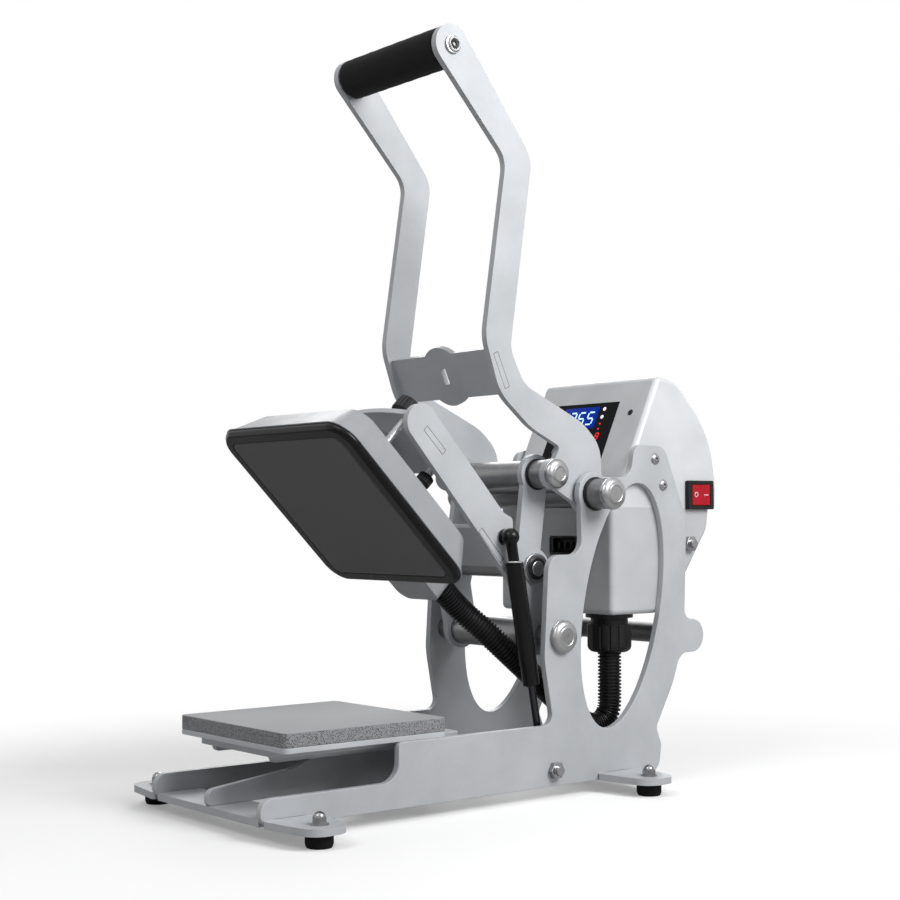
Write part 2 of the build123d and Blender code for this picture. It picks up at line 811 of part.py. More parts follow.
link_w = 13.0
link_eye_r = 17.0
link_span = hypot(dy - cy, dz - cz)
link_n = ((dz - cz) / link_span * link_w, -(dy - cy) / link_span * link_w)
link_corners = [
    (cy + link_n[0], cz + link_n[1], 0),
    (dy + link_n[0], dz + link_n[1], 0),
    (dy - link_n[0], dz - link_n[1], 0),
    (cy - link_n[0], cz - link_n[1], 0),
]
link_bosses = [(cy, cz, link_eye_r), (dy, dz, link_w)]
link_holes = [(cy, cz, pin_hole), (dy, dz, drag_tube_r + seat_fit)]
for side, name in ((1, "link_plate_near"), (-1, "link_plate_far")):
    x_low = low_side(side, link_in, link_t)
    save(flat_plate(x_low, link_t, link_corners, link_bosses, link_holes), name)
save(turned([(-link_in, link_in, link_tube_r, pin_hole)], link_pivot), "link_upper_tube")
save(turned([(-link_out, link_out, drag_tube_r, drag_tube_r - 3.0)], drag_pivot), "link_lower_tube")

# Arms: two side plates, two cross plates and the tube they turn on

arm_w = 15.0
arm_slope = -48.0
arm_top = (-83.0, 309.5)
arm_dir = (cos(radians(arm_slope)), sin(radians(arm_slope)))
arm_side = (-arm_dir[1] * arm_w, arm_dir[0] * arm_w)
boss_r = 17.0
arm_corners = [
    (arm_top[0] - arm_w * arm_dir[0] - arm_side[0], arm_top[1] - arm_w * arm_dir[1] - arm_side[1], 14.8),
    (arm_top[0] - arm_w * arm_dir[0] + arm_side[0], arm_top[1] - arm_w * arm_dir[1] + arm_side[1], 14.8),
    (dy - 34.0, dz + 47.0, 8.0),
    (dy - 24.0, dz + 42.5, 5.0),
    (dy - 24.0, dz + 31.0, 7.0),
    (dy + 7.7, dz + 15.2, 0),
    (dy + 16.7, dz + 3.1, 0),
    (ay + 16.7, az + 3.1, 0),
    (ay, az, 0),
    (ay - 16.8, az + 2.0, 0),
    (ay - 22.4, az + 29.0, 25.0),
    (dy - 64.0, dz + 33.5, 15.0),
]
bridge_tab = 27.0
bridge_at = (bridge_d + bridge_t / 2) * sin(radians(tilt))
bridge_mid = (face_y + bridge_at, face_z + bridge_at)
stay_mid = (-11.0, 210.0)
stay_tab = 35.0
stay_t = 5.0
ball_stud_r = 4.0
arm_slots = [
    (*bridge_mid, bridge_tab + slot_fit, bridge_t + slot_fit, -tilt),
    (*stay_mid, stay_tab + slot_fit, stay_t + slot_fit, arm_slope),
]
arm_bosses = [(ay, az, boss_r), (dy, dz, boss_r)]
arm_holes = [(ay, az, pin_hole), (dy, dz, drag_stud_r + seat_fit)]
ball_hole = (gas_top[1], gas_top[2], ball_stud_r + seat_fit)
save(
    flat_plate(arm_in, arm_t, arm_corners, arm_bosses, [*arm_holes, ball_hole], arm_slots),
    "arm_plate_near",
)
save(flat_plate(-arm_out, arm_t, arm_corners, arm_bosses, arm_holes, arm_slots), "arm_plate_far")

with BuildPart() as arm_bridge:
    with BuildSketch(head_at(bridge_d)):
        with BuildLine():
            ThreePointArc((-arm_in, 28.5), (0, 33.5), (arm_in, 28.5))
            Line((arm_in, 28.5), (arm_in, -31.0))
            ThreePointArc((arm_in, -31.0), (0, -36.5), (-arm_in, -31.0))
            Line((-arm_in, -31.0), (-arm_in, 28.5))
        make_face()
        Rectangle(2 * arm_out, bridge_tab)
        with Locations((0, screw_s)):
            Circle(screw_r + run_fit, mode=Mode.SUBTRACT)
        with Locations(*[(x * stud_x, s * stud_s) for x in (1, -1) for s in (1, -1)]):
            Circle(stud_r + run_fit, mode=Mode.SUBTRACT)
    extrude(amount=bridge_t)
save(arm_bridge.part, "arm_bridge")

stay_h = 44.0
with BuildPart() as arm_stay:
    stay_plane = Plane(
        origin=(0, *stay_mid),
        x_dir=(1, 0, 0),
        z_dir=(0, -arm_dir[1], arm_dir[0]),
    )
    with BuildSketch(stay_plane.offset(-stay_t / 2)):
        Rectangle(2 * arm_in, stay_h)
        Rectangle(2 * arm_out, stay_tab)
    extrude(amount=stay_t)
save(arm_stay.part, "arm_stay")

save(turned([(-arm_in, arm_in, arm_tube_r, pin_hole)], arm_pivot), "arm_tube")

drag_gap = 0.3
stud_end = arm_out + drag_ring_t + 2.0
drag_spans = []
for side in (1, -1):
    for x0, x1, r in (
        (link_out + drag_gap, arm_out, drag_stud_r),
        (arm_out, arm_out + drag_ring_t, drag_ring_r),
        (arm_out + drag_ring_t, stud_end, drag_stud_r),
    ):
        drag_spans.append((min(side * x0, side * x1), max(side * x0, side * x1), r, 0))
save(turned(drag_spans, drag_pivot), "arm_studs")

ball_flange_t = 1.2
ball_neck_r = 3.0
with BuildPart() as gas_ball_stud:
    add(turned(
        [
            (arm_in, arm_out, ball_stud_r, 0),
            (arm_out, arm_out + ball_flange_t, 7.0, 0),
            (arm_out + ball_flange_t, gas_top[0], ball_neck_r, 0),
        ],
        (gas_top[1], gas_top[2]),
    ))
    with Locations(gas_top):
        Sphere(gas_ball_r)
save(gas_ball_stud.part, "gas_ball_stud")

# Pressure knob and its screw, held in the bridge and threaded into the platen's boss

knob_d = 104.0
screw_tip = bridge_d - press_travel - 23.0
collar_r = 9.0
collar_t = 4.0
with BuildPart() as pressure_screw:
    for low, high, r in (
        (screw_tip, knob_d, screw_r),
        (bridge_d - run_fit - collar_t, bridge_d - run_fit, collar_r),
        (bridge_d + bridge_t + run_fit, bridge_d + bridge_t + run_fit + collar_t, collar_r),
        (knob_d, knob_d + knob_h - 3.0, screw_r - 2.0),
    ):
        with BuildSketch(head_at(low)):
            with Locations((0, screw_s)):
                Circle(r)
        extrude(amount=high - low)
save(pressure_screw.part, "pressure_screw")

knob_ribs = 20
with BuildPart() as pressure_knob:
    with BuildSketch(head_at(knob_d)):
        with Locations((0, screw_s)):
            Circle(knob_r)
            with PolarLocations(knob_r + 0.3, knob_ribs):
                Circle(1.0, mode=Mode.SUBTRACT)
    extrude(amount=knob_h)
    with BuildSketch(head_at(knob_d)):
        with Locations((0, screw_s)):
            Circle(screw_r - 2.0 + seat_fit)
    extrude(amount=knob_h - 3.0, mode=Mode.SUBTRACT)
save(pressure_knob.part, "pressure_knob")

# Heated platen, its cover and what they hold


def cover_form(inset):
    """The cover's tapered form, drawn in by inset on every side."""
    with BuildPart() as form:
        with BuildSketch(head_at(cover_z)):
            RectangleRounded(rim_size - 2 * inset, rim_size - 3.0 - 2 * inset, rim_corner - inset)
        with BuildSketch(head_at(cover_z + cover_h - inset)):
            RectangleRounded(cover_top_size - 2 * inset, cover_top_size - 2 * inset, cover_corner - inset)
        loft()
    return form.part


flange_size = plate_size + 7.6
flange_t = plate_t - cover_z
with BuildPart() as heat_platen:
    with BuildSketch(head):
        RectangleRounded(plate_size, plate_size, 8.0)
    extrude(amount=plate_t)
    with BuildSketch(head_at(cover_z)):
        RectangleRounded(flange_size, flange_size, 12.0)
    extrude(amount=flange_t)
    chamfer(heat_platen.faces().sort_by(Axis((0, 0, 0), head.z_dir))[0].edges(), 1.0)
save(heat_platen.part, "heat_platen")

rim_face = cover_z - rim_t
rim_bevel = 3.0
with BuildPart() as platen_rim:
    with BuildSketch(head_at(rim_face)):
        RectangleRounded(rim_size, rim_size - 3.0, rim_corner)
    extrude(amount=rim_t)
    chamfer(platen_rim.faces().sort_by(Axis((0, 0, 0), head.z_dir))[0].edges(), rim_bevel)
    with BuildSketch(head):
        RectangleRounded(plate_size + 0.4, plate_size + 0.4, 8.2)
    extrude(amount=cover_z, mode=Mode.SUBTRACT)
save(platen_rim.part, "platen_rim")

cover_lip = 1.0
with BuildPart() as platen_cover:
    add(cover_form(0))
    with BuildSketch(head_at(cover_z)):
        RectangleRounded(rim_size + 2 * cover_lip, rim_size - 3.0 + 2 * cover_lip, rim_corner + cover_lip)
    extrude(amount=cover_lip)
    add(cover_form(cover_wall), mode=Mode.SUBTRACT)
save(platen_cover.part, "platen_cover")

element_r = 3.6
element_reach = 55.0
element_d = plate_t + element_r
with BuildPart() as heating_element:
    with BuildLine(head_at(element_d)) as element_path:
        FilletPolyline(
            (-15.0, element_reach + 12.0),
            (-15.0, -15.0),
            (-element_reach, -15.0),
            (-element_reach, -element_reach),
            (element_reach, -element_reach),
            (element_reach, -15.0),
            (15.0, -15.0),
            (15.0, element_reach + 12.0),
            radius=12.0,
        )
    with BuildSketch(Plane(origin=element_path.line @ 0, z_dir=element_path.line % 0)):
        Circle(element_r)
    sweep()
save(heating_element.part, "heating_element")

wool_gap = 7.0
wool_size = cover_top_size - 2 * wool_gap
wool_low = element_d + element_r
wool_high = cover_z + cover_h - cover_wall
with BuildPart() as insulation_pad:
    with BuildSketch(head_at(wool_low)):
        RectangleRounded(wool_size, wool_size, 8.0)
    extrude(amount=wool_high - wool_low)
save(insulation_pad.part, "insulation_pad")

yoke_d = cover_z + cover_h
yoke_t = 4.0
yoke_boss_r = 11.0
yoke_boss_h = 26.0
with BuildPart() as platen_yoke:
    with BuildSketch(head_at(yoke_d)):
        RectangleRounded(2 * stud_x + 20.0, 2 * stud_s + 20.0, 8.0)
    extrude(amount=yoke_t)
    with BuildSketch(head_at(yoke_d + yoke_t)):
        with Locations((0, screw_s)):
            Circle(yoke_boss_r)
    extrude(amount=yoke_boss_h)
    with BuildSketch(head_at(yoke_d)):
        with Locations((0, screw_s)):
            Circle(screw_r + run_fit)
    extrude(amount=yoke_t + yoke_boss_h, mode=Mode.SUBTRACT)
save(platen_yoke.part, "platen_yoke")

with BuildPart() as guide_studs:
    with BuildSketch(head_at(yoke_d + yoke_t)):
        with Locations(*[(x * stud_x, s * stud_s) for x in (1, -1) for s in (1, -1)]):
            Circle(stud_r)
    extrude(amount=bridge_d + press_travel + 2.0 - yoke_d - yoke_t)
save(guide_studs.part, "guide_studs")

thumb_low = yoke_d + yoke_t + 8.0
thumb_neck = 8.0
thumb_head = 8.0
thumb_neck_r = 4.6
thumb_r = 6.8
with BuildPart() as thumb_nuts:
    for low, length, r in (
        (thumb_low, thumb_neck, thumb_neck_r),
        (thumb_low + thumb_neck, thumb_head, thumb_r),
    ):
        with BuildSketch(head_at(low)):
            with Locations(*[(x * stud_x, stud_s) for x in (1, -1)]):
                Circle(r)
                Circle(stud_r + run_fit, mode=Mode.SUBTRACT)
        extrude(amount=length)
save(thumb_nuts.part, "thumb_nuts")

lead_start = cover_top_size / 2 - 6.0
lead_half = 25.0
lead_end = 114.0
lead_low = 8.0
lead_wall = 1.6
hose_x = 14.4
hose_d = 22.0
with BuildPart() as terminal_housing:
    with BuildSketch(head_at(lead_low)):
        add(outline([
            (-lead_half, lead_start, 0),
            (lead_half, lead_start, 0),
            (lead_half, lead_end, 6.0),
            (-lead_half, lead_end, 12.0),
        ]))
    extrude(amount=cover_z + cover_h - lead_low)
    with BuildSketch(head_at(lead_low + lead_wall)):
        add(outline([
            (lead_wall - lead_half, lead_start, 0),
            (lead_half - lead_wall, lead_start, 0),
            (lead_half - lead_wall, lead_end - lead_wall, 4.4),
            (lead_wall - lead_half, lead_end - lead_wall, 10.4),
        ]))
    extrude(amount=cover_z + cover_h - lead_low - 2 * lead_wall, mode=Mode.SUBTRACT)
    add(cover_form(0), mode=Mode.SUBTRACT)
    lead_face = head.from_local_coords((hose_x, lead_end, hose_d))
    with BuildSketch(Plane(origin=lead_face, x_dir=(1, 0, 0), z_dir=head.y_dir)):
        Circle(hose_bore)
    extrude(amount=-2 * lead_wall, mode=Mode.SUBTRACT)
save(terminal_housing.part, "terminal_housing")

# Corrugated conduit from the platen's terminal housing to the gland under the control box

hose_start = (lead_face.X, lead_face.Y, lead_face.Z)
hose_first = head.from_local_coords((hose_x, lead_end + 24.0, hose_d))
hose_route = [
    hose_start,
    (hose_first.X, hose_first.Y, hose_first.Z),
    (27.0, 8.0, 137.0),
    (37.0, 27.0, 117.0),
    (41.0, 54.0, 94.0),
    (42.5, 84.0, 69.0),
    (43.6, 115.0, 48.0),
    (44.6, 137.0, 57.0),
    (gland_x, gland_y, 88.0),
    (gland_x, gland_y, gland_z),
]
hose_radii = []
for a, b, c in zip(hose_route, hose_route[1:], hose_route[2:]):
    run_in = Vector(*b) - Vector(*a)
    run_out = Vector(*c) - Vector(*b)
    half_turn = radians(run_in.get_angle(run_out) / 2)
    hose_radii.append(0.45 * min(run_in.length, run_out.length) / tan(half_turn))
with BuildLine() as hose_line:
    FilletPolyline(*hose_route, radius=hose_radii)
hose_path = hose_line.wires()[0]


def hose_ring(distance, r):
    """A circle of radius r square to the conduit at a distance along it, its x axis kept steady."""
    along = hose_path.tangent_at(distance / hose_path.length)
    across = (Vector(1, 0, 0) - along * along.X).normalized()
    at = hose_path.position_at(distance / hose_path.length)
    return Face(Wire(Edge.make_circle(r, Plane(origin=at, x_dir=across, z_dir=along))))


rib_count = int((hose_path.length - 2 * hose_pitch) / hose_pitch)
first_rib = (hose_path.length - rib_count * hose_pitch) / 2
hose_rings = [hose_ring(0, hose_valley)]
for rib in range(rib_count):
    rib_start = first_rib + rib * hose_pitch
    hose_rings.append(hose_ring(rib_start + hose_pitch * 0.16, hose_valley))
    hose_rings.append(hose_ring(rib_start + hose_pitch * 0.34, hose_r))
    hose_rings.append(hose_ring(rib_start + hose_pitch * 0.66, hose_r))
    hose_rings.append(hose_ring(rib_start + hose_pitch * 0.84, hose_valley))
hose_rings.append(hose_ring(hose_path.length, hose_valley))
with BuildPart() as conduit:
    loft(sections=hose_rings, ruled=True)
    with BuildSketch(Plane(origin=hose_path @ 0, z_dir=hose_path % 0)):
        Circle(hose_bore)
    sweep(path=hose_path, mode=Mode.SUBTRACT)
save(conduit.part, "conduit")
print("conduit length", round(hose_path.length, 1), "ribs", rib_count)
print("conduit radii", [round(r, 1) for r in hose_radii])
print("conduit volume", round(conduit.part.volume))

# Gas spring: the cylinder hangs from the near arm's ball, the rod stands on the near side plate

gas_axis = Vector(*gas_foot) - Vector(*gas_top)
gas_plane = Plane(origin=gas_top, x_dir=(0, 1, 0), z_dir=gas_axis.normalized())
ball_fit = 0.1
socket_r = 7.4
gas_neck_r = 4.6
tube_top = 22.0
tube_end = 108.0
collar_end = 124.8
gas_bore = 5.2
rod_top = 88.0
piston_h = 7.0
with BuildPart() as gas_cylinder:
    for low, high, r in (
        (0.0, tube_top, gas_neck_r),
        (tube_top, tube_end, gas_r),
        (tube_end, collar_end, gas_r - 0.4),
    ):
        with BuildSketch(gas_plane.offset(low)):
            Circle(r)
        extrude(amount=high - low)
    with Locations(gas_top):
        Sphere(socket_r)
    with BuildSketch(gas_plane.offset(tube_top + 8.0)):
        Circle(gas_bore)
    extrude(amount=tube_end - tube_top - 8.0, mode=Mode.SUBTRACT)
    with BuildSketch(gas_plane.offset(tube_end)):
        Circle(gas_rod_r + run_fit)
    extrude(amount=collar_end - tube_end, mode=Mode.SUBTRACT)
    with Locations(gas_top):
        Sphere(gas_ball_r + ball_fit, mode=Mode.SUBTRACT)
    with BuildSketch(Plane.YZ.offset(gas_top[0])):
        with Locations((gas_top[1], gas_top[2])):
            Circle(ball_neck_r + 0.5)
    extrude(amount=-2 * socket_r, mode=Mode.SUBTRACT)
save(gas_cylinder.part, "gas_cylinder")

foot_head_r = 6.6
with BuildPart() as gas_rod:
    with BuildSketch(gas_plane.offset(rod_top)):
        Circle(gas_rod_r)
    extrude(amount=gas_axis.length - rod_top)
    with BuildSketch(gas_plane.offset(rod_top)):
        Circle(gas_bore - run_fit)
    extrude(amount=piston_h)
    with BuildSketch(gas_plane.offset(gas_axis.length - 20.0)):
        Circle(gas_neck_r)
    extrude(amount=20.0)
    with Locations(gas_foot):
        Sphere(foot_head_r)
    add(turned(
        [
            (gas_foot[0], side_in - drag_gap, ball_neck_r, 0),
            (side_in - drag_gap - 2.5, side_in - drag_gap, 6.5, 0),
        ],
        (gas_foot[1], gas_foot[2]),
    ))
save(gas_rod.part, "gas_rod")
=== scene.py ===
import math

import bmesh
import bpy
from mathutils import Matrix, Vector


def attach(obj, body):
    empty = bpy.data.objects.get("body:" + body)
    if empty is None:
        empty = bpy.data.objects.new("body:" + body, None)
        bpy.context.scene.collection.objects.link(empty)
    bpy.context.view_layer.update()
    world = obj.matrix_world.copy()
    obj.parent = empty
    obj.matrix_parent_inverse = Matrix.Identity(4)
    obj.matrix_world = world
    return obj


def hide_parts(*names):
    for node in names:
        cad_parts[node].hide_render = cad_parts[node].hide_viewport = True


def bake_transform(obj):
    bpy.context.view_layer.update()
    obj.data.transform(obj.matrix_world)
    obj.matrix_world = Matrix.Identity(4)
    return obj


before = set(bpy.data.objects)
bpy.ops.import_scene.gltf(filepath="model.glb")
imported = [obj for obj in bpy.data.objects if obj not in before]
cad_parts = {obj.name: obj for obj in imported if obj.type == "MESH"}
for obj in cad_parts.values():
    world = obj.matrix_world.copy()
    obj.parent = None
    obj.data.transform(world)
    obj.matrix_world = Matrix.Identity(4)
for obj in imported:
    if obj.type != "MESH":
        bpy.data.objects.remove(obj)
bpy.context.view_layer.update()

bl_info = {
    "name": "Clamshell Heat Press",
    "version": (1, 0, 0),
    "blender": (4, 5, 0),
    "location": "3D View > Sidebar > Heat Press",
    "description": "Dresses the packed frame of a small clamshell heat press",
    "category": "Object",
}

MM = 0.001
COS45 = math.sqrt(0.5)

# Places that the CAD frame fixes, in millimetres in the shared frame
FACE_MIDDLE = Vector((0.0, -126.1, 239.5))
PANEL_MIDDLE = Vector((-4.0, 148.19, 309.57))
PANEL_UP = Vector((0.0, 0.4254, 0.9050))
PANEL_OUT = Vector((0.0, -0.9050, 0.4254))
HANDLE_PIVOT = (86.3, 253.0)
DRAG_PIVOT = (37.0, 190.0)
ARM_PIVOT = (47.4, 133.5)
LINK_PIVOT = (48.0, 269.83)
GRIP_MIDDLE = (-62.5, 615.5)
FEET = [(x, y) for x in (116.0, -116.0) for y in (-223.5, 112.0)]
BOX_SCREWS = [(160.8, 284.3), (170.7, 261.4)]
ARM_OUT = 57.0
LINK_OUT = 48.0
HANDLE_OUT = 71.0
SIDE_OUT = 79.5
SHAFT_END = 99.0
DRAG_RING_FOOT = 60.0
SCREW_DOWN = -9.5
SCREW_TURNS = 39
STUD_ACROSS = 40.0
STUD_DOWN = 24.0
STUD_TURNS = 48
PAD_FOOT = Vector((0.0, -150.0, 65.0))
FOOT_PLATE_TOP = 16.0
INLET_MIDDLE = Vector((12.5, 112.2, 208.0))
GAS_TOP = Vector((65.5, 2.8, 217.0))
GAS_FOOT = Vector((65.5, 37.9, 23.8))
OFF_MARK = (77.25, (216.9, 253.4))
ON_MARK = (78.86, 228.1, 253.0)
ROCKER_SWING = 16.0
HANDLE_TAB = ((-11.2, 354.2), 31.0, -66.0)
ARM_TABS = [((-70.24, 295.36), 27.0, -45.0), ((-11.0, 210.0), 35.0, -48.0)]
CONDUIT_ROUTE = [
    (14.4, -30.04, 174.44), (14.4, -13.07, 157.47), (27.0, 8.0, 137.0), (37.0, 27.0, 117.0),
    (41.0, 54.0, 94.0), (42.5, 84.0, 69.0), (43.6, 115.0, 48.0), (44.6, 137.0, 57.0),
    (45.0, 137.0, 88.0), (45.0, 137.0, 114.0),
]
CONDUIT_JOIN = (41.0, 60.0, 90.0)
CONDUIT_LOW = (44.0, 130.0, 56.0)

# The photograph's camera, fitted to the press: metres, radians and a lens in millimetres
CAMERA_SPOT = (1.0730, -0.8847, 0.2342)
CAMERA_AZIMUTH = 0.8858
CAMERA_PITCH = 0.0409
CAMERA_ROLL = 0.0027
CAMERA_LENS = 64.82


def place(origin, across, along):
    """A matrix that stands a form's X on across and its Z on along, at origin in millimetres."""
    z = Vector(along).normalized()
    x = Vector(across).normalized()
    y = z.cross(x)
    turn = Matrix((x, y, z)).transposed().to_4x4()
    return Matrix.Translation(Vector(origin)) @ turn


def on_platen(x, down, out):
    """Out of the platen's back, at x across and down along its face."""
    origin = FACE_MIDDLE + Vector((x, (down + out) * COS45, (out - down) * COS45))
    return place(origin, (1, 0, 0), (0, 1, 1))


def along_x(x, pivot, side=1):
    """Outwards along X at a pivot (Y, Z)."""
    return place((x, *pivot), (0, 1, 0), (side, 0, 0))


# Materials


class Wire:
    """A node's output that takes part in Python arithmetic."""

    def __init__(self, work, socket):
        self.work = work
        self.socket = socket

    def _math(self, operation, first, second):
        return self.work.node("Math", {"operation": operation}, {0: first, 1: second})

    def __add__(self, other):
        return self._math("ADD", self, other)

    def __radd__(self, other):
        return self._math("ADD", other, self)

    def __rsub__(self, other):
        return self._math("SUBTRACT", other, self)

    def __mul__(self, other):
        return self._math("MULTIPLY", self, other)

    def __rmul__(self, other):
        return self._math("MULTIPLY", other, self)


class NodeWork:
    """A node tree under construction, with one way to add nodes."""

    def __init__(self, tree):
        self.tree = tree

    def node(self, kind, settings=None, sockets=None, output=0):
        """Add a node of a type, give it its settings first and then its sockets' values or links."""
        made = self.tree.nodes.new("ShaderNode" + kind)
        for key, value in (settings or {}).items():
            if key == "stops":
                ramp = made.color_ramp
                ramp.elements[0].position, ramp.elements[0].color = value[0]
                ramp.elements[-1].position, ramp.elements[-1].color = value[-1]
                for position, colour in value[1:-1]:
                    ramp.elements.new(position).color = colour
            else:
                setattr(made, key, value)
        for key, value in (sockets or {}).items():
            if isinstance(value, Wire):
                self.tree.links.new(value.socket, made.inputs[key])
            else:
                made.inputs[key].default_value = value
        return Wire(self, made.outputs[output])


class Finish(NodeWork):
    """A material under construction, with its shader."""

    def __init__(self, name, **constants):
        self.material = bpy.data.materials.new(name)
        self.material.use_nodes = True
        super().__init__(self.material.node_tree)
        self.shader = self.tree.nodes["Principled BSDF"]
        for key, value in constants.items():
            self.shader.inputs[key.replace("_", " ").title().replace("Ior", "IOR")].default_value = value

    def spots(self, stretch=(1.0, 1.0, 1.0)):
        """Object coordinates, stretched along the axes."""
        where = self.node("TexCoord", output="Object")
        return self.node("Mapping", {"vector_type": "POINT"}, {"Vector": where, "Scale": stretch})

    def noise(self, size_mm, detail=2.0, rough=0.5, stretch=(1.0, 1.0, 1.0)):
        """Noise whose grains are about size_mm across."""
        return self.node("TexNoise", {}, {
            "Vector": self.spots(stretch), "Scale": 1.0 / (size_mm * MM),
            "Detail": detail, "Roughness": rough,
        })

    def cells(self, size_mm, feature="F1"):
        """Distance to the nearest of scattered points about size_mm apart."""
        scale = 1.0 / (size_mm * MM)
        return self.node("TexVoronoi", {"feature": feature}, {"Vector": self.spots(), "Scale": scale})

    def blend(self, amount, first, second):
        """A colour between first and second."""
        return self.node("Mix", {"data_type": "RGBA"}, {0: amount, 6: first, 7: second}, output=2)

    def steps(self, value, *stops):
        """A grey ramp through (position, grey) stops."""
        ramp = [(at, (grey, grey, grey, 1.0)) for at, grey in stops]
        return self.node("ValToRGB", {"stops": ramp}, {"Fac": value})

    def into(self, socket, wire):
        """Link a wire to one of the shader's sockets."""
        self.tree.links.new(wire.socket, self.shader.inputs[socket])

    def mottle(self, amount, colour, first, second, socket="Base Color"):
        """Move a colour from one shade to another by an amount."""
        self.into(socket, self.blend(amount, shade(colour, first), shade(colour, second)))

    def bump(self, height, strength, depth_mm):
        """Raise the surface by a height, over a depth."""
        self.into("Normal", self.node("Bump", {}, {
            "Height": height, "Strength": strength, "Distance": depth_mm * MM,
        }))


def shade(colour, factor):
    """A colour made lighter or darker, with its alpha."""
    return (*[min(1.0, part * factor) for part in colour[:3]], 1.0)


def powder_coat(name, colour, rough=0.42, metal=0.08, grain=0.9):
    """Silver powder coat: fine orange peel, a faint cloudiness and small bright flakes."""
    coat = Finish(name, metallic=metal, specular_ior_level=0.35, coat_weight=0.08, coat_roughness=0.3)
    cloud = coat.noise(45.0, detail=4.0)
    flakes = coat.noise(0.45, detail=2.0, rough=0.7)
    tone = coat.steps(cloud * 0.5 + flakes * 0.5, (0.34, 0.0), (0.66, 1.0))
    coat.mottle(tone, colour, 0.86, 1.1)
    coat.into("Roughness", rough - 0.08 + 0.16 * coat.noise(14.0, detail=3.0))
    coat.bump(coat.noise(grain, detail=2.0) + 0.5 * flakes, 0.2, 0.06)
    return coat.material


def drawn_steel(name, colour, rough=0.26, line_mm=0.28):
    """Turned or drawn steel with fine rings round the X axis and faint handling marks."""
    steel = Finish(name, metallic=1.0)
    rings = steel.noise(1.0, detail=3.0, stretch=(1.0 / line_mm, 0.04, 0.04))
    cloud = steel.noise(9.0, detail=4.0, rough=0.6)
    tone = steel.steps(rings * 0.4 + cloud * 0.6, (0.3, 0.0), (0.72, 1.0))
    steel.mottle(tone, colour, 0.84, 1.08)
    steel.into("Roughness", rough - 0.05 + 0.16 * cloud)
    steel.bump(rings, 0.25, 0.012)
    return steel.material


def bright_plate(name, colour, rough=0.16):
    """Bright zinc or nickel plating with a faint mottle."""
    plate = Finish(name, metallic=1.0)
    cloud = plate.noise(2.2, detail=4.0, rough=0.6)
    plate.mottle(cloud, colour, 0.88, 1.05)
    plate.into("Roughness", rough - 0.04 + 0.12 * cloud)
    plate.bump(cloud, 0.08, 0.02)
    return plate.material


def moulded(name, colour, rough=0.42, grain_mm=0.5, depth=0.02, specular=0.22):
    """Moulded plastic with a fine eroded grain."""
    plastic = Finish(name, specular_ior_level=specular)
    grain = plastic.noise(grain_mm, detail=3.0, rough=0.6)
    cloud = plastic.noise(18.0, detail=3.0)
    plastic.mottle(cloud, colour, 0.85, 1.2)
    plastic.into("Roughness", rough - 0.08 + 0.16 * cloud)
    plastic.bump(grain, 0.3, depth)
    return plastic.material


def soft_rubber(name, colour):
    """Matte rubber, a little dusty in random patches."""
    rubber = Finish(name, specular_ior_level=0.15)
    grain = rubber.noise(0.7, detail=4.0, rough=0.65)
    dust = rubber.steps(rubber.noise(7.0, detail=4.0), (0.45, 0.0), (0.8, 1.0))
    rubber.mottle(dust * 0.35, colour, 1.0, 2.1)
    rubber.into("Roughness", 0.72 + 0.14 * grain)
    rubber.bump(grain, 0.5, 0.08)
    return rubber.material


def foam_skin(name, colour):
    """Closed-cell foam: small pits between soft cells."""
    foam = Finish(name, specular_ior_level=0.12, sheen_weight=0.04, sheen_roughness=0.6)
    pits = foam.cells(0.55)
    cloud = foam.noise(6.0, detail=4.0)
    foam.mottle(pits * 0.6 + cloud * 0.4, colour, 1.5, 0.7)
    foam.into("Roughness", 0.8 + 0.15 * cloud)
    foam.bump(pits * 0.7 + cloud * 0.5, 0.55, 0.12)
    return foam.material


def sponge_face(name, colour):
    """The smooth skin on top of the silicone sponge."""
    face = Finish(name, sheen_weight=0.1)
    weave = face.noise(0.8, detail=3.0)
    cloud = face.noise(45.0, detail=3.0)
    face.mottle(cloud * 0.6 + weave * 0.4, colour, 0.92, 1.1)
    face.into("Roughness", 0.66 + 0.12 * weave)
    face.bump(weave, 0.3, 0.05)
    return face.material


def sponge_cut(name, colour):
    """The sponge's cut sides, speckled with open cells."""
    cut = Finish(name)
    pores = cut.steps(cut.cells(1.1) + 0.25 * cut.noise(0.5, detail=3.0), (0.28, 1.0), (0.55, 0.0))
    fine = cut.noise(0.45, detail=4.0, rough=0.7)
    spots = cut.steps(pores * 0.6 + fine * 0.5, (0.25, 0.0), (0.62, 1.0))
    cut.mottle(spots, colour, 1.25, 0.16)
    cut.into("Roughness", 0.8 + 0.1 * fine)
    cut.bump(1.0 - spots, 0.9, 0.35)
    return cut.material


def coated_platen(name, colour):
    """Dark non-stick coating over machined aluminium, with a faint sweep of wear."""
    coating = Finish(name, specular_ior_level=0.3)
    cloud = coating.noise(70.0, detail=3.0)
    speckle = coating.noise(0.5, detail=2.0)
    mixed = cloud * 0.75 + speckle * 0.25
    coating.mottle(mixed, colour, 0.88, 1.14)
    coating.into("Roughness", 0.5 + 0.12 * cloud)
    coating.bump(speckle, 0.12, 0.03)
    return coating.material


def lit_window(name, colour, strength):
    """A part of the display that glows."""
    lamp = Finish(
        name, base_color=shade(colour, 0.1), roughness=0.4,
        specular_ior_level=0.05, emission_strength=strength,
    )
    glow = lamp.noise(3.0, detail=2.0)
    lamp.mottle(glow, colour, 0.8, 1.15, "Emission Color")
    return lamp.material


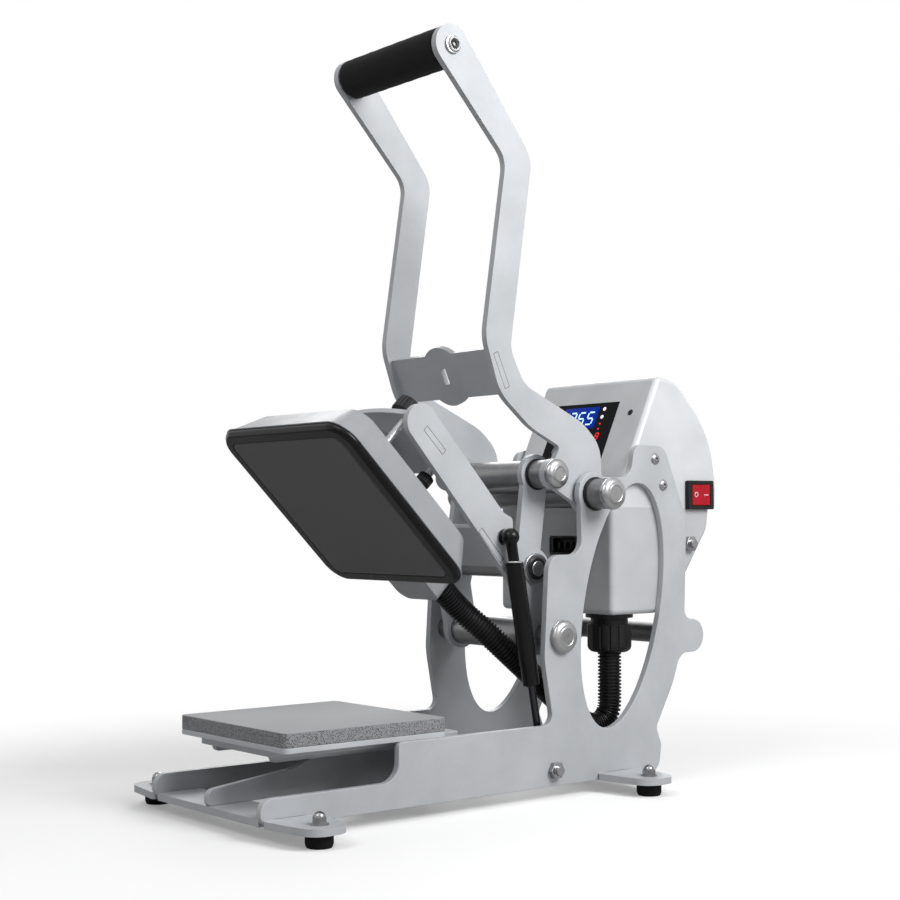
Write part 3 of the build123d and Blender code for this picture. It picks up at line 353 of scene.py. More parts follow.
def fibre_wool(name, colour):
    """Matted ceramic fibre."""
    wool = Finish(name, sheen_weight=0.4)
    strands = wool.noise(0.9, detail=5.0, rough=0.7, stretch=(1.0, 0.3, 1.0))
    wool.mottle(strands, colour, 0.75, 1.05)
    wool.into("Roughness", 0.85 + 0.1 * strands)
    wool.bump(strands, 0.8, 0.5)
    return wool.material


def circuit_board(name, colour):
    """Green solder mask with lighter tracks under it."""
    board = Finish(name, coat_weight=0.3, coat_roughness=0.15)
    tracks = board.steps(board.cells(4.0, "DISTANCE_TO_EDGE"), (0.04, 1.0), (0.09, 0.0))
    board.mottle(tracks, colour, 1.0, 1.9)
    board.into("Roughness", 0.35 + 0.1 * board.noise(3.0))
    board.bump(tracks, 0.3, 0.05)
    return board.material


# Forms


def new_object(name, data):
    """Make an object of some data and link it to the scene."""
    made = bpy.data.objects.new(name, data)
    bpy.context.scene.collection.objects.link(made)
    return made


def close_form(form, name, body, finishes, stands_for=(), sharp=32.0):
    """Merge a form's doubles, point its faces outwards and make it a piece that rides on a body."""
    bmesh.ops.remove_doubles(form, verts=form.verts, dist=1e-4)
    bmesh.ops.dissolve_degenerate(form, edges=form.edges, dist=1e-5)
    bmesh.ops.recalc_face_normals(form, faces=form.faces)
    bmesh.ops.scale(form, vec=(MM, MM, MM), verts=form.verts)
    limit = math.radians(sharp)
    for face in form.faces:
        face.smooth = True
    for edge in form.edges:
        edge.smooth = edge.calc_face_angle(0.0) < limit
    mesh = bpy.data.meshes.new(name)
    form.to_mesh(mesh)
    form.free()
    piece = new_object(name, mesh)
    for finish in finishes:
        mesh.materials.append(finish)
    if stands_for:
        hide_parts(*stands_for)
    if body:
        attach(piece, body)
    return piece


def lathe(form, profile, where, steps=48):
    """Turn (radius, height) points about Z, as a ring where both ends stand off it, and set them in place."""
    if profile[0][0] > 0 and profile[-1][0] > 0:
        profile = profile + profile[:1]
    corners = [form.verts.new((radius, 0.0, height)) for radius, height in profile]
    chain = [form.edges.new(pair) for pair in zip(corners, corners[1:])]
    before = set(form.verts) - set(corners)
    bmesh.ops.spin(
        form, geom=corners + chain, cent=(0, 0, 0), axis=(0, 0, 1),
        angle=math.tau, steps=steps, use_merge=True,
    )
    made = [vert for vert in form.verts if vert not in before]
    bmesh.ops.transform(form, matrix=where, verts=made)


def bevel(form, edges, width, segments=2):
    """Round edges to a width and give back the new corners."""
    return bmesh.ops.bevel(
        form, geom=edges, offset=width, offset_type="OFFSET", affect="EDGES", segments=segments,
        profile=0.5, material=-1, clamp_overlap=True,
    )["verts"]


def raise_ring(form, ring, height):
    """Raise a filled ring into a solid and give back all its corners."""
    raised = bmesh.ops.extrude_face_region(form, geom=ring[0].link_faces[:1], use_keep_orig=True)["geom"]
    top = [part for part in raised if isinstance(part, bmesh.types.BMVert)]
    bmesh.ops.translate(form, vec=(0, 0, height), verts=top)
    return ring + top


def fluted(form, radius, height, flutes, depth, edge, where):
    """A short fluted cylinder from Z 0 up, with its rims bevelled."""
    ring = bmesh.ops.create_circle(form, cap_ends=True, segments=flutes * 4, radius=radius)["verts"]
    for turn, vert in enumerate(ring):
        if turn % 4 == 0:
            vert.co *= (radius - depth) / radius
        elif turn % 4 == 2:
            vert.co *= (radius + 0.1 * depth) / radius
    made = raise_ring(form, ring, height)
    rims = [e for v in made for e in v.link_edges if abs(e.verts[0].co.z - e.verts[1].co.z) < 1e-6]
    rounded = bevel(form, list(set(rims)), edge)
    made = set(v for v in made if v.is_valid) | set(rounded)
    bmesh.ops.transform(form, matrix=where, verts=list(made))


def block(form, size, where, edge=0.0, segments=2):
    """A box of a size in millimetres round the origin, bevelled and then set in place."""
    made = bmesh.ops.create_cube(form, size=1.0)["verts"]
    bmesh.ops.scale(form, vec=size, verts=made)
    if edge > 0:
        edges = list({e for v in made for e in v.link_edges})
        rounded = bevel(form, edges, edge, segments)
        made = list(set(rounded) | {v for v in made if v.is_valid})
    bmesh.ops.transform(form, matrix=where, verts=made)


def turned_pair(name, body, spots, profile, finish, stands_for=(), steps=48, sharp=32.0):
    """Turn one profile outwards on both sides at each (x, pivot) spot, as a piece that rides on a body."""
    form = bmesh.new()
    for side in (1, -1):
        for x, pivot in spots:
            lathe(form, profile, along_x(side * x, pivot, side), steps)
    return close_form(form, name, body, [finish], stands_for, sharp)


def paint_nodes(finish, *names):
    """Give CAD nodes a finish."""
    for name in names:
        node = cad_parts[name]
        node.data.materials.clear()
        node.data.materials.append(finish)


def soften_edges(width, names, segments=2, angle=32.0, merge=True):
    """Round the sharp edges of CAD nodes with live modifiers, with their flat faces merged or not."""
    for name in names:
        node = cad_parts[name]
        weld = node.modifiers.new("join_faces", "WELD")
        weld.merge_threshold = 2e-6
        if merge:
            flat = node.modifiers.new("plain_faces", "DECIMATE")
            flat.decimate_type = "DISSOLVE"
            flat.angle_limit = math.radians(0.4)
        edge = node.modifiers.new("soft_edges", "BEVEL")
        edge.width = width * MM
        edge.segments = segments
        edge.limit_method = "ANGLE"
        edge.angle_limit = math.radians(angle)
        edge.use_clamp_overlap = True
        plain = node.modifiers.new("plain_normals", "WEIGHTED_NORMAL")
        plain.mode = "FACE_AREA"
        plain.weight = 50
        plain.keep_sharp = False


# Sizes and colours


class PressSizes(bpy.types.PropertyGroup):
    grip_radius: bpy.props.FloatProperty(
        name="Grip radius", description="Outside radius of the foam sleeve", default=0.017, unit="LENGTH",
    )
    grip_length: bpy.props.FloatProperty(
        name="Grip length", description="Length of the foam sleeve", default=0.129, unit="LENGTH",
    )
    pad_side: bpy.props.FloatProperty(
        name="Pad side", description="Side of the square silicone pad", default=0.1524, unit="LENGTH",
    )
    pad_depth: bpy.props.FloatProperty(
        name="Pad depth", description="Thickness of the silicone pad", default=0.011, unit="LENGTH",
    )
    conduit_radius: bpy.props.FloatProperty(
        name="Conduit radius", description="Radius over the conduit's ribs", default=0.0105, unit="LENGTH",
    )
    conduit_valley: bpy.props.FloatProperty(
        name="Conduit valley", description="Radius between the conduit's ribs", default=0.0088, unit="LENGTH",
    )
    conduit_pitch: bpy.props.FloatProperty(
        name="Conduit pitch", description="Distance from rib to rib", default=0.003, unit="LENGTH",
    )
    edge_width: bpy.props.FloatProperty(
        name="Edge width", description="Width of the softened edges of plates", default=0.0005, unit="LENGTH",
    )


class PressColours(bpy.types.PropertyGroup):
    paint: bpy.props.FloatVectorProperty(
        name="Plate paint", description="Silver of the frame, arms and handle", subtype="COLOR", size=4,
        default=(0.445, 0.46, 0.48, 1.0), min=0.0, max=1.0,
    )
    cover: bpy.props.FloatVectorProperty(
        name="Cover paint", description="Silver of the control box", subtype="COLOR", size=4,
        default=(0.585, 0.60, 0.615, 1.0), min=0.0, max=1.0,
    )
    platen_cover: bpy.props.FloatVectorProperty(
        name="Platen cover paint", description="Silver of the heated platen's cover", subtype="COLOR", size=4,
        default=(0.29, 0.30, 0.315, 1.0), min=0.0, max=1.0,
    )
    coating: bpy.props.FloatVectorProperty(
        name="Platen coating", description="Non-stick coating of the heated face", subtype="COLOR", size=4,
        default=(0.086, 0.086, 0.089, 1.0), min=0.0, max=1.0,
    )
    sponge: bpy.props.FloatVectorProperty(
        name="Silicone pad", description="Grey of the silicone sponge", subtype="COLOR", size=4,
        default=(0.26, 0.265, 0.275, 1.0), min=0.0, max=1.0,
    )
    black: bpy.props.FloatVectorProperty(
        name="Black plastic", description="Black of the plastic parts", subtype="COLOR", size=4,
        default=(0.008, 0.008, 0.009, 1.0), min=0.0, max=1.0,
    )
    steel: bpy.props.FloatVectorProperty(
        name="Steel", description="Turned steel of the caps and tubes", subtype="COLOR", size=4,
        default=(0.38, 0.38, 0.385, 1.0), min=0.0, max=1.0,
    )
    rocker: bpy.props.FloatVectorProperty(
        name="Rocker", description="Red of the power rocker", subtype="COLOR", size=4,
        default=(0.33, 0.006, 0.014, 1.0), min=0.0, max=1.0,
    )
    digits: bpy.props.FloatVectorProperty(
        name="Digits", description="Blue of the temperature digits", subtype="COLOR", size=4,
        default=(0.45, 0.68, 1.0, 1.0), min=0.0, max=1.0,
    )


class PieceOperator:
    """What the press's operators share."""

    bl_options = {"REGISTER", "UNDO"}

    @property
    def sizes(self):
        return bpy.context.scene.press_sizes

    @property
    def colours(self):
        return bpy.context.scene.press_colours


class PRESS_OT_frame_plates(PieceOperator, bpy.types.Operator):
    """Paint the cut plates of the frame, arms, links and handle and soften their edges"""

    bl_idname = "press.frame_plates"
    bl_label = "Painted plates"

    def execute(self, context):
        feet = ["front_foot_plate", "rear_foot_plate"]
        plates = [
            "side_plate_near", "side_plate_far", "middle_rib", "pad_crossmember", "pad_bracket",
            "handle_plate_near", "handle_plate_far", "handle_brace", "arm_plate_near", "arm_plate_far",
            "arm_bridge", "arm_stay", "link_plate_near", "link_plate_far",
        ]
        paint_nodes(powder_coat("plate_paint", self.colours.paint), *plates, *feet)
        soften_edges(self.sizes.edge_width / MM, plates)
        soften_edges(self.sizes.edge_width / MM, feet, merge=False)
        # Painted shadow: thin black blocks round each tab stand for the shade in the gap where the tab comes
        # through its plate.
        tab_shade = moulded("tab_gap", self.colours.black, rough=0.7)
        for name, body, outside, tabs in (
            ("handle_tab_gaps", "handle", HANDLE_OUT, [HANDLE_TAB]),
            ("arm_tab_gaps", "arms", ARM_OUT, ARM_TABS),
        ):
            form = bmesh.new()
            for side in (1, -1):
                for middle, length, lean in tabs:
                    self.tab_gap(form, side * outside, middle, length, lean)
            close_form(form, name, body, [tab_shade])
        return {"FINISHED"}

    def tab_gap(self, form, x, middle, length, lean):
        """Painted shadow: the dark line of black blocks round a tab where it comes through its plate,
        standing for the shade in the gap.
        """
        turn = Matrix.Translation((x, *middle)) @ Matrix.Rotation(math.radians(lean), 4, "X")
        for across, up, size in (
            (0.0, 2.5, (0.12, length + 0.4, 0.35)), (0.0, -2.5, (0.12, length + 0.4, 0.35)),
            (length / 2, 0.0, (0.12, 0.35, 4.7)), (-length / 2, 0.0, (0.12, 0.35, 4.7)),
        ):
            block(form, size, turn @ Matrix.Translation((0.0, across, up)), edge=0.03, segments=1)


class PRESS_OT_steelwork(PieceOperator, bpy.types.Operator):
    """Finish the shafts, tubes, spacers and caps in turned steel"""

    bl_idname = "press.steelwork"
    bl_label = "Steel shafts, tubes and caps"

    def execute(self, context):
        steel = self.colours.steel
        turned = drawn_steel("turned_steel", steel)
        paint_nodes(turned, "pivot_shafts", "link_pin", "gas_ball_stud")
        soft = drawn_steel("drawn_tube", shade(steel, 0.66), rough=0.34, line_mm=0.5)
        tubes = ["handle_tube", "link_upper_tube", "link_lower_tube", "arm_tube", "grip_tube"]
        paint_nodes(soft, *tubes, "shaft_spacers", "link_spacers")
        dark = drawn_steel("dark_tube", shade(steel, 0.35), rough=0.42)
        paint_nodes(dark, "rear_cross_tube")
        paint_nodes(drawn_steel("stud_steel", shade(steel, 1.15), rough=0.2), "arm_studs")
        bright = bright_plate("bright_zinc", (0.36, 0.36, 0.37))
        paint_nodes(bright, "hex_bolts")
        soften_edges(0.6, ["shaft_spacers", "link_spacers", "arm_studs"])
        soften_edges(0.5, ["hex_bolts"])
        ring_black = moulded("ring_rubber", self.colours.black)
        ring = [(6.6, 0.0), (9.4, 0.0), (9.4, 0.9), (8.6, 1.5), (7.4, 1.5), (6.6, 0.9)]
        turned_pair("drag_rings", "arms", [(DRAG_RING_FOOT, DRAG_PIVOT)], ring, ring_black)
        spots = [(SIDE_OUT, ARM_PIVOT), (SHAFT_END, HANDLE_PIVOT)]
        turned_pair("turned_shaft_caps", "frame", spots, self.cap(13.6), turned, ["shaft_caps"], 64, 24.0)
        spots = [(HANDLE_OUT, LINK_PIVOT)]
        turned_pair("turned_link_caps", "handle", spots, self.cap(12.4), turned, ["link_caps"], 64, 24.0)
        # Painted shade: black rings at the plate's face stand for the dark groove between plate and spacer at
        # both shafts.
        ring = [(12.9, 0.05), (13.9, 0.05), (14.4, 0.5), (14.4, 2.2), (13.9, 2.7), (12.9, 2.7)]
        turned_pair("shaft_rings", "frame", [(SIDE_OUT, HANDLE_PIVOT)], ring, ring_black)
        ring = [(11.9, 0.3), (13.0, 0.3), (13.4, 0.7), (13.4, 1.9), (13.0, 2.3), (11.9, 2.3)]
        turned_pair("link_rings", "handle", [(LINK_OUT, LINK_PIVOT)], ring, ring_black)
        return {"FINISHED"}

    def cap(self, radius):
        """The profile of a push-on cap: a skirt with one turned line, a dome and a rim round a flat face."""
        face = radius - 6.2
        profile = [(0.0, 0.0), (radius - 0.7, 0.0), (radius - 0.7, 0.5), (radius - 0.2, 0.5), (radius, 0.8)]
        profile += [(radius, 1.7), (radius - 0.3, 1.85), (radius - 0.3, 2.05), (radius, 2.2)]
        for part in range(7):
            lean = math.radians(15.0 * part)
            profile.append((face + 0.9 + (radius - face - 0.9) * math.cos(lean), 2.5 + 4.1 * math.sin(lean)))
        profile += [(face + 0.5, 6.9), (face - 0.1, 7.0), (face - 0.5, 6.8), (face - 0.8, 6.4), (0.0, 6.4)]
        return profile


class PRESS_OT_platen(PieceOperator, bpy.types.Operator):
    """Finish the heated platen, its rim and cover, and the lower platen"""

    bl_idname = "press.platen"
    bl_label = "Heated platen"

    def execute(self, context):
        colours = self.colours
        paint_nodes(coated_platen("platen_coating", colours.coating), "heat_platen")
        paint_nodes(moulded("gloss_rim", shade(colours.black, 0.5), rough=0.25, depth=0.005), "platen_rim")
        cover = powder_coat("platen_cover_paint", colours.platen_cover, rough=0.38, metal=0.14)
        paint_nodes(cover, "platen_cover", "terminal_housing", "platen_yoke")
        paint_nodes(powder_coat("lower_platen_paint", shade(colours.paint, 1.1)), "lower_platen")
        paint_nodes(fibre_wool("fibre_wool", (0.82, 0.81, 0.78, 1.0)), "insulation_pad")
        paint_nodes(bright_plate("element_sheath", (0.5, 0.48, 0.45), rough=0.35), "heating_element")
        soften_edges(1.6, ["platen_cover"], segments=3, angle=25.0)
        soften_edges(0.8, ["platen_rim", "platen_yoke", "terminal_housing"], segments=2)
        soften_edges(0.4, ["heat_platen", "lower_platen"])
        return {"FINISHED"}


class PRESS_OT_pressure(PieceOperator, bpy.types.Operator):
    """Make the threaded pressure screw and guide studs, and the ribbed knob and thumb nuts"""

    bl_idname = "press.pressure"
    bl_label = "Pressure screw, knob and nuts"

    def execute(self, context):
        thread = bright_plate("thread_steel", (0.72, 0.72, 0.73), rough=0.22)
        black = moulded("knob_black", self.colours.black, rough=0.45)
        paint_nodes(black, "pressure_knob")
        soften_edges(0.6, ["pressure_knob"])
        form = bmesh.new()
        profile = [(0.0, 44.0), (5.0, 44.0)]
        for turn in range(SCREW_TURNS):
            low = 45.0 + 1.5 * turn
            profile += [(5.05, low), (5.95, low + 0.6), (5.95, low + 0.8), (5.05, low + 1.4)]
        profile += [(5.0, 104.0), (4.0, 104.0), (4.0, 113.0), (0.0, 113.0)]
        lathe(form, profile, on_platen(0.0, SCREW_DOWN, 0.0), steps=28)
        for low in (72.45, 81.55):
            high = low + 4.0
            collar = [(6.0, low), (8.6, low), (9.0, low + 0.4), (9.0, high - 0.4), (8.6, high), (6.0, high)]
            lathe(form, collar, on_platen(0.0, SCREW_DOWN, 0.0), steps=40)
        close_form(form, "threaded_screw", "pressure", [thread], ["pressure_screw"])
        form = bmesh.new()
        for x in (STUD_ACROSS, -STUD_ACROSS):
            for down in (STUD_DOWN, -STUD_DOWN):
                profile = [(0.0, 38.0), (2.7, 38.0)]
                for turn in range(STUD_TURNS):
                    low = 38.4 + turn
                    profile += [(2.75, low), (3.18, low + 0.4), (3.18, low + 0.55), (2.75, low + 0.95)]
                profile += [(2.6, 87.4), (2.0, 88.0), (0.0, 88.0)]
                lathe(form, profile, on_platen(x, down, 0.0), steps=16)
        close_form(form, "threaded_studs", "platen", [thread], ["guide_studs"])
        form = bmesh.new()
        for x in (STUD_ACROSS, -STUD_ACROSS):
            neck = [(3.3, 0.0), (4.2, 0.0), (4.6, 0.5), (4.6, 7.0), (5.2, 8.2), (3.3, 8.2)]
            lathe(form, neck, on_platen(x, STUD_DOWN, 46.0), steps=32)
            where = on_platen(x, STUD_DOWN, 54.0)
            fluted(form, radius=6.7, height=8.0, flutes=16, depth=0.6, edge=0.5, where=where)
        close_form(form, "ribbed_thumb_nuts", "platen", [black], ["thumb_nuts"], sharp=40.0)
        return {"FINISHED"}


class PRESS_OT_grip(PieceOperator, bpy.types.Operator):
    """Make the foam sleeve of the grip and its end screws"""

    bl_idname = "press.grip"
    bl_label = "Grip"

    def execute(self, context):
        radius = self.sizes.grip_radius / MM
        half = self.sizes.grip_length / MM / 2
        profile = [(11.1, -half), (radius - 2.2, -half)]
        profile += [(radius - 0.8, -half + 0.5), (radius - 0.15, -half + 1.8)]
        rings = 16
        for ring in range(rings + 1):
            along = -half + 4.0 + (2 * half - 8.0) * ring / rings
            profile.append((radius - 0.16 - 0.14 * math.cos(ring * 2.4), along))
        profile += [(radius - 0.15, half - 1.8), (radius - 0.8, half - 0.5)]
        profile += [(radius - 2.2, half), (11.1, half)]
        form = bmesh.new()
        lathe(form, profile, along_x(0.0, GRIP_MIDDLE), steps=72)
        foam = foam_skin("foam_black", self.colours.black)
        sleeve = close_form(form, "foam_sleeve", "handle", [foam], ["foam_grip"])
        head = [
            (0.0, 2.4), (4.1, 2.4), (4.1, 3.4), (4.6, 3.9), (5.6, 3.9), (6.1, 3.5), (6.5, 2.1),
            (7.3, 2.0), (7.6, 1.6), (7.6, 0.4), (7.3, 0.0), (4.0, 0.0), (4.0, -14.0), (0.0, -14.0),
        ]
        ends = [(HANDLE_OUT, GRIP_MIDDLE)]
        screw = bright_plate("screw_plate", (0.48, 0.48, 0.49))
        turned_pair("grip_end_screws", "handle", ends, head, screw, ["grip_screws"])
        # Painted shade: a black lining inside each screw head's socket stands for the dark of the deep
        # recess.
        socket = [(1.7, 2.9), (1.7, 3.3), (2.1, 3.5), (3.8, 3.5), (4.05, 3.2), (4.05, 2.45), (1.7, 2.45)]
        turned_pair("grip_screw_rings", "handle", ends, socket, moulded("socket_black", self.colours.black))
        return {"FINISHED"}


class PRESS_OT_silicone_pad(PieceOperator, bpy.types.Operator):
    """Make the silicone sponge on the lower platen, with cut sides"""

    bl_idname = "press.silicone_pad"
    bl_label = "Silicone pad"

    def execute(self, context):
        side = self.sizes.pad_side / MM
        depth = self.sizes.pad_depth / MM
        form = bmesh.new()
        verts = bmesh.ops.create_cube(form, size=1.0)["verts"]
        bmesh.ops.scale(form, vec=(side, side, depth), verts=verts)
        corners = [e for e in form.edges if abs(e.verts[0].co.z - e.verts[1].co.z) > 1.0]
        bevel(form, corners, 5.0, 6)
        rims = [e for e in form.edges if abs(e.verts[0].co.z - e.verts[1].co.z) < 1e-5]
        bevel(form, rims, 0.7, 3)
        walls = [f for f in form.faces if abs(f.normal.z) < 0.5]
        bmesh.ops.subdivide_edges(
            form, edges=list({e for f in walls for e in f.edges}), cuts=3, use_grid_fill=True,
        )
        for face in form.faces:
            face.material_index = 0 if face.normal.z > 0.5 else 1
        bmesh.ops.translate(form, vec=PAD_FOOT + Vector((0.0, 0.0, depth / 2)), verts=form.verts)
        sponge = self.colours.sponge
        finishes = [sponge_face("sponge_face", sponge), sponge_cut("sponge_cut", shade(sponge, 0.85))]
        pad = close_form(form, "sponge_pad", "frame", finishes, ["silicone_pad"], sharp=45.0)
        return {"FINISHED"}


class PRESS_OT_conduit(PieceOperator, bpy.types.Operator):
    """Make the corrugated conduit in two lengths that meet halfway along its route"""

    bl_idname = "press.conduit"
    bl_label = "Corrugated conduit"

    def centreline(self):
        """Points along the route's smooth spline, in millimetres."""
        curve = bpy.data.curves.new("conduit_line", "CURVE")
        curve.dimensions = "3D"
        curve.resolution_u = 24
        spline = curve.splines.new("NURBS")
        spline.points.add(len(CONDUIT_ROUTE) - 1)
        for point, spot in zip(spline.points, CONDUIT_ROUTE):
            point.co = (*spot, 1.0)
        spline.order_u = 3
        spline.use_endpoint_u = True
        holder = new_object("conduit_line", curve)
        mesh = bpy.data.meshes.new_from_object(holder)
        points = [vert.co.copy() for vert in mesh.vertices]
        bpy.data.objects.remove(holder)
        bpy.data.meshes.remove(mesh)
        return points

    def hose(self, points, name, start, end, body_pair, blend_from, blend_to):
        """A ribbed tube along a stretch of the centreline, closed at both ends."""
        runs = [0.0]
        for a, b in zip(points, points[1:]):
            runs.append(runs[-1] + (b - a).length)
        total = runs[-1]
        crest = self.sizes.conduit_radius / MM
        valley = self.sizes.conduit_valley / MM
        pitch = total / round(total / (self.sizes.conduit_pitch / MM))
        ribs = round(total / pitch)
        shoulder = crest - 0.12
        wave = [(0.0, valley), (0.14, valley), (0.3, shoulder), (0.5, crest), (0.7, shoulder), (0.86, valley)]
        spots = []
        for rib in range(int(ribs * start), int(ribs * end)):
            for share, radius in wave:
                spots.append(((rib + share) * pitch, radius))
        spots.append((int(ribs * end) * pitch, valley))
        form = bmesh.new()
        ring = bmesh.ops.create_circle(form, cap_ends=False, segments=26, radius=1.0)["verts"]
        edges = list({e for v in ring for e in v.link_edges})
        last = Matrix()
        turn = None
        tangent = None
        step = 0
        for distance, radius in spots:
            while step < len(runs) - 2 and runs[step + 1] < distance:
                step += 1
            ahead = (points[step + 1] - points[step]).normalized()
            centre = points[step] + ahead * (distance - runs[step])
            if turn is None:
                turn = ahead.to_track_quat("Z", "X")
            else:
                turn = tangent.rotation_difference(ahead) @ turn
            tangent = ahead
            centre * MM
            now = Matrix.Translation(centre) @ turn.to_matrix().to_4x4() @ Matrix.Scale(radius, 4)
            if distance != spots[0][0]:
                grown = bmesh.ops.extrude_edge_only(form, edges=edges)["geom"]
                ring = [part for part in grown if isinstance(part, bmesh.types.BMVert)]
                edges = [part for part in grown if isinstance(part, bmesh.types.BMEdge)]
                edges = [e for e in edges if e.verts[0] in ring and e.verts[1] in ring]
            bmesh.ops.transform(form, matrix=now @ last.inverted(), verts=ring)
            last = now
        rim = [e for e in form.edges if e.is_boundary]
        bmesh.ops.holes_fill(form, edges=rim, sides=0)
        finish = moulded("conduit_black", self.colours.black, rough=0.38, grain_mm=0.8)
        piece = close_form(form, name, None, [finish], ["conduit"], sharp=50.0)
        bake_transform(piece)
        spots[-1][0] * MM - spots[0][0] * MM

    def execute(self, context):
        points = self.centreline()
        places = (CONDUIT_ROUTE[0], CONDUIT_ROUTE[2], CONDUIT_JOIN, CONDUIT_LOW)
        upper, bend, join, low = (Vector(spot) * MM for spot in places)
        self.hose(points, "conduit_upper", 0.0, 0.5, ("platen", "arms"), upper, bend)
        self.hose(points, "conduit_lower", 0.5, 1.0, ("arms", "frame"), join, low)
        return {"FINISHED"}


class PRESS_OT_control_box(PieceOperator, bpy.types.Operator):
    """Finish the control box, its gland and inlet, and make the screws and bezels on it"""

    bl_idname = "press.control_box"
    bl_label = "Control box"

    def execute(self, context):
        colours = self.colours
        cover = powder_coat("cover_paint", colours.cover, rough=0.44, metal=0.1, grain=1.2)
        paint_nodes(cover, "control_cover")
        base = powder_coat("base_paint", shade(colours.cover, 0.82), rough=0.34, metal=0.12)
        paint_nodes(base, "control_base")
        black = moulded("box_plastic", colours.black)
        paint_nodes(black, "switch_housing", "power_inlet", "conduit_gland")
        paint_nodes(circuit_board("board_green", (0.03, 0.13, 0.05, 1.0)), "control_board")
        soften_edges(0.7, ["control_cover"], segments=3)
        soften_edges(0.7, ["control_base"], segments=3, merge=False)
        soften_edges(0.5, ["switch_housing", "power_inlet", "conduit_gland"])
        head = [
            (0.0, 0.9), (1.5, 0.9), (1.5, 2.3), (2.4, 2.35), (3.7, 1.9), (4.6, 1.1), (5.0, 0.3),
            (5.0, 0.0), (3.0, 0.0), (3.0, -11.0), (0.0, -11.0),
        ]
        spots = [(SIDE_OUT, spot) for spot in BOX_SCREWS]
        screws = bright_plate("screw_heads", (0.36, 0.36, 0.38), rough=0.22)
        turned_pair("domed_box_screws", "frame", spots, head, screws, ["box_screws"], steps=36)
        form = bmesh.new()
        spot = PANEL_MIDDLE + Vector((58.0, 0, 0)) + PANEL_UP * 19.0
        grommet = [
            (0.0, -1.2), (0.9, -1.2), (0.9, 0.2), (1.5, 0.45), (2.6, 0.3), (3.0, 0.02), (1.9, 0.02),
            (1.9, -2.0), (0.0, -2.0),
        ]
        lathe(form, grommet, place(spot, (1, 0, 0), PANEL_OUT), steps=28)
        close_form(form, "fascia_grommet", "frame", [black])
        inlet = Matrix.Translation(INLET_MIDDLE)
        form = bmesh.new()
        for x, z, size in (
            (0.0, 7.4, (35.0, 1.0, 2.0)), (0.0, -7.4, (35.0, 1.0, 2.0)),
            (-16.9, 0.0, (2.0, 1.0, 14.0)), (16.9, 0.0, (2.0, 1.0, 14.0)),
        ):
            block(form, size, inlet @ Matrix.Translation((x, 0.0, z)), edge=0.3)
        block(form, (32.6, 1.2, 13.6), inlet @ Matrix.Translation((0.0, 6.8, 0.0)), edge=0.3)
        for x in (-8.0, 0.0, 8.0):
            block(form, (3.0, 5.0, 6.0), inlet @ Matrix.Translation((x, 4.8, 0.0)), edge=0.4)
        close_form(form, "socket_bezel", "frame", [black])
        return {"FINISHED"}


class PRESS_OT_display(PieceOperator, bpy.types.Operator):
    """Make the lit display with its digits, lamps and keys"""

    bl_idname = "press.display"
    bl_label = "Display"

    SEGMENTS = {
        "3": "abgcd", "6": "afgedc", "5": "afgcd", "8": "abcdefg",
    }

    def on_panel(self, x, up, out=0.0):
        origin = PANEL_MIDDLE + Vector((x, 0.0, 0.0)) + PANEL_UP * up + PANEL_OUT * out
        return place(origin, (1, 0, 0), PANEL_OUT)

    def digit(self, form, sign, x, up, width, height, stroke):
        """One digit of seven slanted bars."""
        slant = Matrix.Identity(4)
        slant[0][1] = 0.12
        half = height / 2
        bars = {
            "a": (0, half, 1), "g": (0, 0, 1), "d": (0, -half, 1), "f": (-width / 2, half / 2, 0),
            "b": (width / 2, half / 2, 0), "e": (-width / 2, -half / 2, 0), "c": (width / 2, -half / 2, 0),
        }
        for bar in self.SEGMENTS[sign]:
            across, lift, flat = bars[bar]
            size = (width - stroke * 0.9, stroke, 0.24) if flat else (stroke, half - stroke * 0.9, 0.24)
            where = self.on_panel(x, up, 0.14) @ slant @ Matrix.Translation((across, lift, 0))
            block(form, size, where, edge=stroke * 0.28, segments=1)

    def execute(self, context):
        colours = self.colours
        window = Finish("display_glass", roughness=0.2, specular_ior_level=0.06)
        haze = window.noise(25.0, detail=2.0)
        window.into("Base Color", window.blend(haze, (0.001, 0.001, 0.002, 1.0), (0.004, 0.004, 0.006, 1.0)))
        paint_nodes(window.material, "display_panel")
        form = bmesh.new()
        block(form, (45.0, 22.0, 0.12), self.on_panel(-6.0, 16.2, 0.03), edge=0.05)
        close_form(form, "digit_glow", "frame", [lit_window("glow_blue", (0.0, 0.02, 0.27), 1.0)])
        form = bmesh.new()
        for sign, x in (("3", -15.6), ("6", -3.8), ("5", 8.0)):
            self.digit(form, sign, x, up=15.6, width=7.6, height=12.4, stroke=1.6)
        close_form(form, "temperature_digits", "frame", [lit_window("digit_blue", colours.digits, 1.7)])
        form = bmesh.new()
        self.digit(form, "8", 24.2, up=-3.4, width=3.8, height=6.2, stroke=0.9)
        for up in (9.4, 4.0):
            block(form, (1.5, 1.5, 0.2), self.on_panel(23.4, up, 0.12), edge=0.3)
        close_form(form, "timer_digit", "frame", [lit_window("digit_red", (0.9, 0.03, 0.02, 1.0), 1.6)])
        form = bmesh.new()
        for up in (24.5, 16.4):
            lamp = [(0.0, 0.5), (1.2, 0.42), (1.8, 0.05), (0.0, 0.05)]
            lathe(form, lamp, self.on_panel(23.2, up), steps=24)
        close_form(form, "status_lamps", "frame", [lit_window("lamp_white", (1.0, 0.78, 0.74, 1.0), 1.6)])
        form = bmesh.new()
        for x in (-24.0, -8.0, 8.0):
            dome = [(0.0, 0.45), (3.6, 0.4), (4.6, 0.22), (5.0, 0.02), (0.0, 0.02)]
            lathe(form, dome, self.on_panel(x, -17.0), steps=32)
        close_form(form, "panel_keys", "frame", [moulded("key_grey", (0.16, 0.16, 0.17, 1.0), rough=0.5)])
        return {"FINISHED"}


